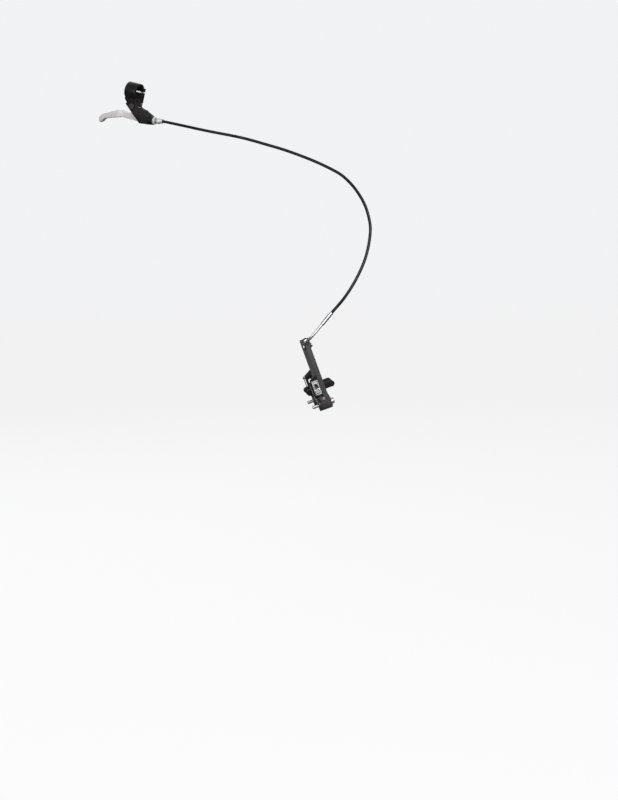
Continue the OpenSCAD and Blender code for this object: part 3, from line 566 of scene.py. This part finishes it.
class Finish:
    """A material under way: its tree, its shader and where its patterns are read."""

    def __init__(self, name, roughness, metallic=0.0, stretch=(1, 1, 1), lean=(0, 0, 0), uv=False):
        self.material = bpy.data.materials.new(name)
        self.material.use_nodes = True
        self.tree = self.material.node_tree
        self.shader = self.tree.nodes["Principled BSDF"]
        self.shader.inputs["Roughness"].default_value = roughness
        self.shader.inputs["Metallic"].default_value = metallic
        if not metallic:
            self.shader.inputs["Specular IOR Level"].default_value = 0.3
        coordinates = self.add("ShaderNodeTexCoord")
        self.plain = coordinates.outputs["Object"]
        turned_by = tuple(math.radians(a) for a in lean)
        source = coordinates.outputs["UV" if uv else "Object"]
        along = self.add("ShaderNodeMapping", {"Vector": source, "Rotation": turned_by,
                                               "Scale": stretch})
        self.along = along.outputs["Vector"]

    def add(self, kind, values=None, **settings):
        return node_in(self.tree, kind, values, **settings)

    def effect(self, group, **values):
        return self.add("ShaderNodeGroup", values, node_tree=group)

    def mix(self, mask, under, over):
        node = self.add("ShaderNodeMix", {"Factor": mask, UNDER: under, OVER: over},
                        data_type="RGBA")
        return node.outputs[MIXED]

    def span(self, tone, low, high):
        """Takes the middle of a grain's tone to the range from low to high."""
        return spread(self.tree, tone, 0.3, 0.7, low, high)

    def dusted(self, colour, scale, amount):
        """Lays road dust over a colour, and makes it the base colour."""
        dust = self.effect(DUST, Vector=self.plain, Scale=scale, Amount=amount)
        self.put(self.mix(dust.outputs["Mask"], colour, ROAD_DUST), "Base Color")

    def bump(self, height, strength, distance=0.0001):
        node = self.add("ShaderNodeBump", {"Height": height, "Strength": strength,
                                           "Distance": distance})
        self.put(node.outputs["Normal"], "Normal")

    def band(self, where, axis, low, high, soft):
        """Mask of a band across an axis of one of the frames above; its sizes in millimetres."""
        along = (where.to_3x3() @ Vector(axis)).normalized()
        start = along.dot(where.translation)
        values = {"Along": along, "Low": start + low * MM, "High": start + high * MM,
                  "Soft": soft * MM}
        return self.effect(BAND, Vector=self.plain, **values).outputs["Mask"]

    def put(self, value, socket):
        feed(self.tree, self.shader.inputs[socket], value)


def toned(colour, gain, lift=0.0):
    """A colour made lighter or darker."""
    return tuple(min(1, gain * c + lift) for c in colour[:3]) + (1,)


def enamel(name, colour, bare, roughness, wear, dust, second=None, bands=()):
    """Paint or anodising that shows the alloy along its rubbed edges.

    A second tone lies where all the bands cross; the arms use it as painted shade on their
    recessed web.
    """
    surface = Finish(name, roughness[0])
    grain = surface.effect(GRAIN, Vector=surface.plain, Fine=2600.0, Coarse=110.0)
    worn = surface.effect(EDGE_WEAR, Vector=surface.plain, Width=0.0007, Amount=wear, Scale=520.0)
    faded = surface.span(grain.outputs["Tone"], 0, 0.55)
    painted = surface.mix(faded, colour, toned(colour, 1.5, 0.012))
    # Painted shade: the second tone darkens the paint where all the bands cross
    if second:
        masks = [surface.band(*band) for band in bands]
        while len(masks) > 1:
            masks.append(maths(surface.tree, "MULTIPLY", masks.pop(), masks.pop()))
        painted = surface.mix(masks[0], painted, second)
    rubbed = surface.mix(worn.outputs["Mask"], painted, bare)
    surface.dusted(rubbed, scale=120.0, amount=dust)
    surface.put(worn.outputs["Mask"], "Metallic")
    surface.put(surface.span(grain.outputs["Tone"], *roughness), "Roughness")
    surface.bump(grain.outputs["Height"], strength=0.16, distance=0.00006)
    return surface.material


def bare_metal(name, colour, roughness, stretch=(1, 1, 1), lean=(0, 0, 0), grain=1800.0,
               bump=0.12, tarnish=0.35, dust=0.12, metallic=1.0):
    """Plated or bare metal with drawn or turned lines and some tarnish."""
    surface = Finish(name, roughness[0], metallic, stretch, lean)
    lines = surface.effect(GRAIN, Vector=surface.along, Fine=grain, Coarse=70.0)
    patches = surface.effect(GRAIN, Vector=surface.plain, Fine=500.0, Coarse=95.0)
    dulled = surface.span(patches.outputs["Tone"], 0, tarnish)
    tarnished = surface.mix(dulled, colour, toned(colour, 0.55))
    surface.dusted(tarnished, scale=150.0, amount=dust)
    surface.put(surface.span(patches.outputs["Tone"], *roughness), "Roughness")
    surface.bump(lines.outputs["Height"], bump, distance=0.00004)
    return surface.material


def moulded(name, colour, roughness, pits=2200.0, bump=0.3, dust=0.25):
    """Rubber or moulded plastic with a fine pitted skin and dust in it."""
    surface = Finish(name, roughness[0])
    grain = surface.effect(GRAIN, Vector=surface.plain, Fine=pits, Coarse=140.0)
    greyed = surface.span(grain.outputs["Tone"], 0, 0.7)
    aged = surface.mix(greyed, colour, toned(colour, 1.9, 0.01))
    surface.dusted(aged, scale=180.0, amount=dust)
    surface.put(surface.span(grain.outputs["Tone"], *roughness), "Roughness")
    surface.bump(grain.outputs["Height"], bump, distance=0.00008)
    return surface.material


def cable_jacket():
    """Black extruded jacket with faint drawn lines along it and a few scuffs."""
    surface = Finish("cable jacket", 0.3, stretch=(90, 1.5, 1), uv=True)
    surface.shader.inputs["Coat Weight"].default_value = 0.2
    surface.shader.inputs["Coat Roughness"].default_value = 0.2
    drawn = surface.effect(GRAIN, Vector=surface.along, Fine=1.0, Coarse=3.0)
    grain = surface.effect(GRAIN, Vector=surface.plain, Fine=1500.0, Coarse=45.0)
    black = surface.mix(surface.span(grain.outputs["Tone"], 0, 0.6), (0.004, 0.004, 0.0045, 1),
                        (0.010, 0.010, 0.0105, 1))
    surface.dusted(black, scale=70.0, amount=0.03)
    surface.put(surface.span(grain.outputs["Tone"], 0.24, 0.42), "Roughness")
    fine = maths(surface.tree, "MULTIPLY", grain.outputs["Height"], 0.4)
    surface.bump(maths(surface.tree, "ADD", drawn.outputs["Height"], fine), strength=0.06)
    return surface.material


BLACK_ENAMEL = enamel("black bracket enamel", (0.005, 0.0045, 0.005, 1),
                      bare=(0.16, 0.155, 0.16, 1), roughness=(0.38, 0.52), wear=0.5, dust=0.03)
# Behind its slim bar, from 12.3 to 60 mm up, an arm's recessed web gets painted shade, nearly
# black
ARM_FINISH_AND_WEB_SHADE = enamel("dark arm anodising and painted web shade", (0.070, 0.066, 0.067, 1), bare=(0.30, 0.29, 0.29, 1),
                    roughness=(0.36, 0.52), wear=0.5, dust=0.05, second=(0.004, 0.004, 0.004, 1),
                    bands=[(ON_FORK, (1, 0, 0), -30, ARM_FRONT - 7.6, 0.5),
                           (ON_FORK, (0, 0, 1), 12.3, 60, 0.5)])
BLADE_ALLOY = bare_metal("forged blade alloy", (0.97, 0.92, 0.91, 1), (0.42, 0.56),
                         stretch=(0.12, 1, 1), lean=(0, BAR_FALL, BAR_SPLAY), grain=900.0,
                         bump=0.02, tarnish=0.05, dust=0.02, metallic=0.4)
TURNED_ALLOY = bare_metal("turned adjuster alloy", (0.96, 0.96, 0.95, 1), (0.3, 0.42),
                          tarnish=0.06, dust=0.02, metallic=0.5)
ZINC = bare_metal("zinc plating", (0.88, 0.89, 0.9, 1), (0.2, 0.36), tarnish=0.16, dust=0.05)
POLISHED = bare_metal("polished guide pipe", (0.92, 0.92, 0.93, 1), (0.1, 0.22), tarnish=0.1,
                      dust=0.03)
# Dark steel of the link, ferrule, reach screw and washers; on the adjuster's thread the same dark
# colour is painted shade
DARK_STEEL_AND_THREAD_SHADE = bare_metal("dark link steel and painted thread shade", (0.10, 0.10, 0.105, 1), (0.34, 0.5), dust=0.06)
DULL_BOLT = bare_metal("weathered pivot bolt", (0.15, 0.105, 0.10, 1), (0.4, 0.6), dust=0.12)
RING_SCREW = bare_metal("ring's pale screw", (0.52, 0.44, 0.42, 1), (0.3, 0.5), tarnish=0.15,
                        dust=0.08)
SPRING_STEEL = bare_metal("spring steel", (0.36, 0.36, 0.37, 1), (0.28, 0.42), dust=0.06)
BRONZE = bare_metal("bush bronze", (0.55, 0.40, 0.22, 1), (0.3, 0.5))
WIRE_STEEL = bare_metal("wire strands", (0.55, 0.55, 0.55, 1), (0.25, 0.45), tarnish=0.5,
                        dust=0.05)
PAD_RUBBER = moulded("pad rubber", (0.006, 0.006, 0.006, 1), (0.62, 0.85), dust=0.04)
BOOT_RUBBER = moulded("boot rubber", (0.006, 0.006, 0.007, 1), (0.45, 0.65), dust=0.04)
BLACK_PLASTIC = moulded("black moulded plastic", (0.028, 0.027, 0.028, 1), (0.4, 0.6),
                        pits=3200.0, bump=0.2, dust=0.05)
RING_BROWN = moulded("dull adjusting ring", (0.13, 0.062, 0.050, 1), (0.45, 0.6), dust=0.08)
JACKET = cable_jacket()

make_camera()
make_studio()


# ------------------------------------------------------------------ cable
def cable_point(s):
    """The point on the lever's cable line that is so far from the nipple."""
    return ON_CABLE @ Vector((0, 0, s))


def noodle_point(s):
    """The point on the guide pipe's straight line that is so far from its bend's corner."""
    return ON_NOODLE @ Vector((0, 0, s))


def make_housing():
    """The black housing, one free cord from the adjuster's barrel into the pipe's ferrule."""
    start = [cable_point(HOUSING_FROM + s) for s in (0, 2, 4)]
    loop = smooth_curve([cable_point(BARREL_TO + 3)] + ROUTE
                        + [noodle_point(NOODLE_L + FERRULE_L + 3)], steps=10)
    end = [noodle_point(HOUSING_SEAT + s) for s in (10, 5, 0)]
    path = start + loop + end
    piece = tube(path, HOUSING_D / 2 * MM, sides=28)
    finish_piece(piece, "cable_jacket", Matrix.Identity(4), None, JACKET,
                 ["cable_housing"], smooth=60)
    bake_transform(piece)


make_housing()


# ------------------------------------------------------------------ lever
def make_adjuster_thread():
    """The bare thread between the lock ring and the adjuster's barrel, coloured dark as painted
    shade of the gap.
    """
    piece = turned(ridges(ADJUSTER_R + 0.22, RING_TO - 0.4, BARREL_FROM + 0.2, 0.9), 40)
    finish_piece(piece, "adjuster_thread", ON_CABLE, "adjuster", DARK_STEEL_AND_THREAD_SHADE,
                 smooth=20)


def make_lever_wire():
    """The rope of wire from the nipple into the adjuster, which bends as the blade turns."""
    start, end = Vector((0, 0, 0.5)), Vector((0, 0, HOUSING_FROM + 2))
    steps = 90
    piece = stranded([start.lerp(end, k / steps) for k in range(steps + 1)], WIRE_D / 2)
    finish_piece(piece, "lever_wire_rope", ON_CABLE, None, WIRE_STEEL,
                 ["lever_wire"], smooth=50)
    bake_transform(piece)


def make_pivot_nut():
    where = ON_BAR @ move(PIVOT[0], 0, PIVOT[2]) @ ON_Y
    nut = hexagon_nut(5.6, 8.5, 12.1, bore=3)
    finish_piece(nut, "pivot_lock_nut", where, "frame_side", ZINC,
                 ["pivot_nut"], smooth=25)


softened("lever_bracket", BLACK_ENAMEL, 0.8)
softened("lever_blade", BLADE_ALLOY, 1.5, segments=4, angle=40)
softened("barrel_adjuster", TURNED_ALLOY, 0.15, 2)
softened("lock_ring", TURNED_ALLOY, 0.15, 2)
softened("upper_ferrule", DARK_STEEL_AND_THREAD_SHADE, 0.08, 2)
softened("pinch_bolt", ZINC, 0.3, 2)
softened("pivot_bolt", DULL_BOLT, 0.3, 2)
softened("reach_screw", DARK_STEEL_AND_THREAD_SHADE, 0.2, 2)
softened("blade_bush", BRONZE, 0.15, 2)
softened("cable_nipple", ZINC, 0.25, 2)
make_adjuster_thread()
make_lever_wire()
make_pivot_nut()


# ------------------------------------------------------------------ noodle and wire
def towards(start, end):
    """Frame at a point of the brake's own frame, with z pointing at another."""
    start, end = Vector(start), Vector(end)
    return ON_FORK @ move(*start) @ (end - start).to_track_quat("Z", "Y").to_matrix().to_4x4()


WIRE_X = ARM_FRONT + 0.1 + WIRE_D / 2
WIRE_Z = ANCHOR_Z + ANCHOR_R + WIRE_D / 2
NOODLE_END = (ARM_X, -TOP_Y - 1 + NOODLE_TIP, TIP_Z)
AT_ANCHOR = (WIRE_X, TOP_Y - WIRE_STRAIGHT, WIRE_Z)
TAIL_Y = TOP_Y + WIRE_PAST
WIRE_TAIL = [(WIRE_X, TAIL_Y, WIRE_Z), (WIRE_X - 0.4, TAIL_Y + TAIL_L * 0.2, WIRE_Z - 0.6),
             (WIRE_X - 1.2, TAIL_Y + TAIL_L * 0.4, WIRE_Z - 3.4),
             (WIRE_X - 2.4, TAIL_Y + TAIL_L * 0.54, WIRE_Z - TAIL_L * 0.3),
             (WIRE_X - 3.8, TAIL_Y + TAIL_L * 0.62, WIRE_Z - TAIL_L * 0.54)]


def make_noodle():
    """The bright guide pipe: straight, a right angle, and its tip with a stop collar."""
    straight, high = 8, HOUSING_SEAT - 1
    path = [Vector((0, 0, NOODLE_BEND + (high - NOODLE_BEND) * (1 - k / straight)))
            for k in range(straight)]
    path += [Vector((0, NOODLE_BEND * (1 - math.cos(a)), NOODLE_BEND * (1 - math.sin(a))))
             for a in map(math.radians, range(0, 91, 5))]
    path += [Vector((0, NOODLE_BEND + NOODLE_TIP * k / 4, 0)) for k in (1, 2, 3, 4)]
    pipe = tube(path, NOODLE_D / 2, sides=32)
    collar = turned([(2.2, 2.3), (3.2, 2.3), (3.5, 2.6), (3.5, 3.6), (3.2, 3.9), (2.2, 3.9)], 40)
    collar.data.transform(move(0, NOODLE_BEND, 0) @ ON_Y)
    finish_piece(joined(pipe, collar), "guide_pipe", ON_NOODLE, "noodle", POLISHED,
                 ["noodle_pipe"], smooth=40)


def make_noodle_ferrule():
    """The pressed cup on the pipe that takes the housing, with its two crimped rings."""
    low, high, r = NOODLE_L, NOODLE_L + FERRULE_L, 3.3
    hole = HOUSING_D / 2 + 0.06
    profile = [(2.4, low - 4), (2.9, low - 4), (3.1, low - 3.7), (r, low - 0.4), (r, low + 2.2),
               (r - 0.35, low + 2.7), (r - 0.35, low + 3.6), (r, low + 4.1), (r, high - 4.6),
               (r - 0.3, high - 4.1), (r - 0.3, high - 3.2), (r, high - 2.7), (r, high - 0.3),
               (r - 0.25, high), (hole, high), (hole, HOUSING_SEAT), (2.4, HOUSING_SEAT),
               (2.4, low - 4)]
    finish_piece(turned(profile, 48), "guide_ferrule", ON_NOODLE, "noodle",
                 POLISHED, ["noodle_ferrule"], smooth=30)


def make_boot():
    """The ribbed rubber boot that keeps dirt off the bare wire."""
    cuff, pitch = NOODLE_D / 2 + 1.9, (BOOT_L - 9) / BOOT_RIBS
    profile = [(NOODLE_D / 2 + 0.8, -5), (cuff - 0.3, -5), (cuff, -4.7), (cuff, -3.6),
               (cuff - 0.25, -3.2), (cuff, -2.8), (cuff, 0.6)]
    for k in range(BOOT_RIBS):
        crest, foot = cuff + 0.9 - 0.18 * k, 2 + k * pitch
        for a in range(0, 360, 45):
            swell = 0.5 - 0.5 * math.cos(math.radians(a))
            profile.append((crest - 1.5 + 1.5 * swell ** 0.7, foot + pitch * a / 360))
    narrow = WIRE_D / 2
    profile += [(cuff - 2, BOOT_L - 8.4), (narrow + 1.9, BOOT_L - 7),
                (narrow + 1.6, BOOT_L - 5.4), (narrow + 1.3, BOOT_L - 5),
                (narrow + 0.35, BOOT_L - 5), (narrow + 0.35, BOOT_L - 9),
                (cuff - 1.9, BOOT_L - 12), (cuff - 1.9, 1), (NOODLE_D / 2 + 0.8, 0.4),
                (NOODLE_D / 2 + 0.8, -5)]
    finish_piece(turned(profile, 48), "ribbed_boot", towards(NOODLE_END, AT_ANCHOR), "noodle",
                 BOOT_RUBBER, ["rubber_boot"], smooth=60)


def make_brake_wire():
    """The wire from the guide pipe through the anchor, with its loose tail and pressed end cap."""
    pipe_end, anchor = Vector(NOODLE_END), Vector(AT_ANCHOR)
    line = [Vector((ARM_X, -TOP_Y + 2, TIP_Z)), pipe_end, anchor]
    path, step, past = [], 0.6, 28
    for a, b in zip(line, line[1:]):
        steps = round((b - a).length / step)
        path += [a.lerp(b, k / steps) for k in range(steps)]
    path += [anchor.lerp(Vector(WIRE_TAIL[0]), k / past) for k in range(past)]
    path += smooth_curve(WIRE_TAIL, steps=12)
    piece = stranded(path, WIRE_D / 2)
    finish_piece(piece, "brake_wire_rope", ON_FORK, None, WIRE_STEEL,
                 ["brake_wire"], smooth=50)
    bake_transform(piece)
    last, before = Vector(WIRE_TAIL[-1]), Vector(WIRE_TAIL[-2])
    r = WIRE_D / 2 + 0.7
    cap = turned([(r - 0.35, 0.02), (r - 0.05, 0.1), (r, 0.4), (r, 2), (r - 0.12, 2.3),
                  (r - 0.12, 3.6), (r, 4), (r, 7.6), (r - 0.2, 8.4), (r - 0.6, 8.85),
                  (0.3, 9)], 32)
    squeeze(cap, 2.1, 3.8, kx=0.72, ky=1.0)
    finish_piece(cap, "pressed_end_cap", towards(last, last + last - before), "arm_left",
                 ZINC, ["wire_end_cap"], smooth=40)


def make_anchor():
    """The hexagon bolt that clamps the wire on the arm."""
    where = ON_FORK @ move(0, TOP_Y, ANCHOR_Z) @ ON_X
    head = hexagon_nut(4.6, ARM_FRONT + 2.6, ARM_FRONT + 6.2)
    dimple = turned([(1.7, ARM_FRONT + 5.4), (2.3, ARM_FRONT + 6.4)], 32)
    cut(head, dimple)
    shank = turned([(2.1, ARM_X - 3.1), (ANCHOR_R, ARM_X - 2.6)]
                   + ridges(ANCHOR_R, ARM_X - 2.6, ARM_FRONT + 2, 0.8)
                   + [(ANCHOR_R, ARM_FRONT + 2), (ANCHOR_R, ARM_FRONT + 3)], 32)
    finish_piece(joined(head, shank), "anchor_hexagon_bolt", where, "arm_left",
                 ZINC, ["anchor_bolt"], smooth=25)


make_noodle()
make_noodle_ferrule()
make_boot()
make_brake_wire()
make_anchor()
softened("anchor_washer", ZINC, 0.2, 2)
softened("noodle_link", DARK_STEEL_AND_THREAD_SHADE, 0.3, 2)
softened("link_pin", ZINC, 0.2, 2)


# ------------------------------------------------------------------ brake arms
def make_return_spring(side):
    """The wound spring: its coil in the housing and its long leg behind the peg."""
    end = CASE_BACK + CASE_T - 1.1 - COIL_PITCH * COIL_WOUND / 360
    coil = [Vector((end + COIL_PITCH * a / 360, POST_Y + COIL_R * math.cos(math.radians(a)),
                    -COIL_R * math.sin(math.radians(a)))) for a in range(COIL_WOUND, 9, -10)]
    back = WEB_BACK - 1.9
    leg = smooth_curve([(end, POST_Y + COIL_R, 0), (end - 0.7, POST_Y + COIL_R - 0.2, 5),
                        (WEB_BACK - 0.8, POST_Y + 5.6, 10.5), (back, POST_Y + 4.4, 16),
                        (back, PEG_Y - 2.1, 30), (back, PEG_Y - 2.1, 44)], steps=8)
    piece = tube(coil + leg, SPRING_R, sides=14)
    where = ON_SIDE[side]
    finish_piece(piece, "wound_spring_" + side, where, None, SPRING_STEEL,
                 ["return_spring_" + side], smooth=50)
    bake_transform(piece)


def make_mount_bolt(side):
    """The socket bolt through the pivot, with its flange and the thread that enters the frame."""
    tail, front = CASE_BACK - 10, BUSH_FRONT
    bolt = turned([(2.1, tail), (2.6, tail + 0.6)] + ridges(BOLT_R, tail + 0.6, CASE_BACK + 2, 1)
                  + [(BOLT_R, CASE_BACK + 2.2), (BOLT_R, front), (6.8, front), (7, front + 0.25),
                     (7, front + 1.1), (6.7, front + 1.4), (4.8, front + 1.4), (4.8, front + 4.4),
                     (4.6, front + 4.8), (4.2, front + 5)], 48)
    hexagon_socket = prism(2.9, front + 2, front + 6)
    cut(bolt, hexagon_socket)
    finish_piece(bolt, "pivot_socket_bolt_" + side, ON_SIDE[side] @ move(0, POST_Y, 0) @ ON_X,
                 "frame_side", ZINC, ["mount_bolt_" + side], smooth=25)


def make_tension_screw(side):
    """The spring's adjusting screw in its coloured ring."""
    where = ON_SIDE[side] @ move(TENSION_X, BLOCK_Y, TENSION_Z) @ ON_Y
    ring = turned([(2.3, 0), (3.45, 0), (3.6, 0.2), (3.6, 1.3), (3.3, 1.6), (2.6, 1.6), (2.3, 1.3),
                   (2.3, 0)], 40)
    finish_piece(ring, "tension_ring_" + side, where, "arm_" + side, RING_BROWN,
                 ["tension_screw_" + side], smooth=30)
    screw = turned([(1.6, -3.6)] + ridges(1.97, -3.5, -0.3, 0.7)
                   + [(1.97, 0.3), (2.2, 0.5), (2.2, 1.2), (2.0, 1.45), (1.3, 1.6)], 40)
    for slot in ((3.2, 0.6, 1.6), (0.6, 3.2, 1.6)):
        cut(screw, block(slot, (0, 0, 1.6)))
    finish_piece(screw, "tension_cross_screw_" + side, where, "arm_" + side,
                 RING_SCREW, ["tension_screw_" + side], smooth=25)


def slot_plate():
    """The plate under a pad's nut: ridged across, slotted for the post, round at its foot."""
    flat = PLATE_T - 0.25
    sheet = block((PLATE_W, flat, PLATE_HIGH - PLATE_LOW),
                  (SLOT_X, PLATE_Y + flat / 2, (PLATE_LOW + PLATE_HIGH) / 2))
    step = (PLATE_HIGH - PLATE_LOW) / TEETH
    teeth = []
    for k in range(TEETH):
        bpy.ops.object.select_all(action="DESELECT")
        bpy.ops.mesh.primitive_cylinder_add(vertices=3, radius=step * 0.6, depth=PLATE_W,
                                            rotation=(0, math.radians(90), 0))
        tooth = bpy.context.object
        bpy.ops.object.transform_apply(location=True, rotation=True, scale=True)
        low = min(v.co.y for v in tooth.data.vertices)
        high = max(v.co.y for v in tooth.data.vertices)
        tooth.data.transform(
            move(SLOT_X, PLATE_Y + PLATE_T - TOOTH_T, PLATE_LOW + (k + 0.5) * step)
            @ Matrix.Diagonal((1, TOOTH_T / (high - low), 1, 1)) @ move(0, -low, 0))
        teeth.append(tooth)
    for tooth in teeth:
        cut(sheet, tooth, "UNION")
    for z in (SLOT_LOW, SLOT_HIGH):
        hole = prism(POST_R + 0.2, PLATE_Y - 1, PLATE_Y + 3, 32)
        hole.data.transform(move(SLOT_X, 0, z) @ ON_Y)
        cut(sheet, hole)
    cut(sheet, block((2 * POST_R + 0.4, 4, SLOT_HIGH - SLOT_LOW),
                     (SLOT_X, PLATE_Y + 1, (SLOT_LOW + SLOT_HIGH) / 2)))
    spare = 2 * PLATE_CORNER
    for edge in (-1, 1):
        x, z = SLOT_X + edge * (PLATE_W / 2 - PLATE_CORNER), PLATE_LOW + PLATE_CORNER
        corner = block((spare, 4, spare), (x + edge * spare / 2, PLATE_Y + 1, z - spare / 2))
        arc = prism(PLATE_CORNER, PLATE_Y - 2, PLATE_Y + 4, 48)
        arc.data.transform(move(x, 0, z) @ ON_Y)
        cut(sheet, cut(corner, arc))
    round_edges(sheet, 0.12, angle=50, segments=2)
    return sheet


def make_pad_fixings(side):
    """The threaded post of the pad, its nut, and the ridged plate that the nut bears on."""
    where = ON_SIDE[side] @ move(SLOT_X, 0, PAD_RISE) @ ON_Y
    body = "arm_" + side
    back, plate = PAD_BACK, PLATE_Y + PLATE_T
    post = turned([(2.6, back - 5), (POST_R, back - 4.6), (POST_R, back), (5.3, back),
                   (5.5, back + 0.2), (5.5, back + 1.6), (5.3, back + 1.8), (POST_R, back + 1.8),
                   (POST_R, plate + 4)]
                  + ridges(POST_R, plate + 4.2, plate + 7.4, 0.8) + [(2.3, plate + 8)], 40)
    finish_piece(post, "threaded_post_" + side, where, body, ZINC,
                 ["pad_post_" + side], smooth=25)
    nut = hexagon_nut(5.7, plate + 1.4, plate + 6, bore=POST_R, spin=30)
    finish_piece(nut, "hexagon_nut_" + side, where, body, ZINC,
                 ["pad_nut_" + side], smooth=25)
    sheet = slot_plate()
    finish_piece(sheet, "ridged_plate_" + side, ON_SIDE[side], body, ZINC,
                 ["slot_plate_" + side], smooth=25)


for side in ("right", "left"):
    softened("arm_" + side, ARM_FINISH_AND_WEB_SHADE, 0.7)
    softened("pad_" + side, PAD_RUBBER, 0.5)
    softened("flat_washer_" + side, ZINC, 0.25, 2)
    for node in ("cup_washer_", "dome_washer_"):
        softened(node + side, DARK_STEEL_AND_THREAD_SHADE, 0.25, 2)
    softened("pivot_bush_" + side, ZINC, 0.2, 2)
    softened("spring_housing_" + side, BLACK_PLASTIC, 0.4, 2)
    make_return_spring(side)
    make_mount_bolt(side)
    make_tension_screw(side)
    make_pad_fixings(side)
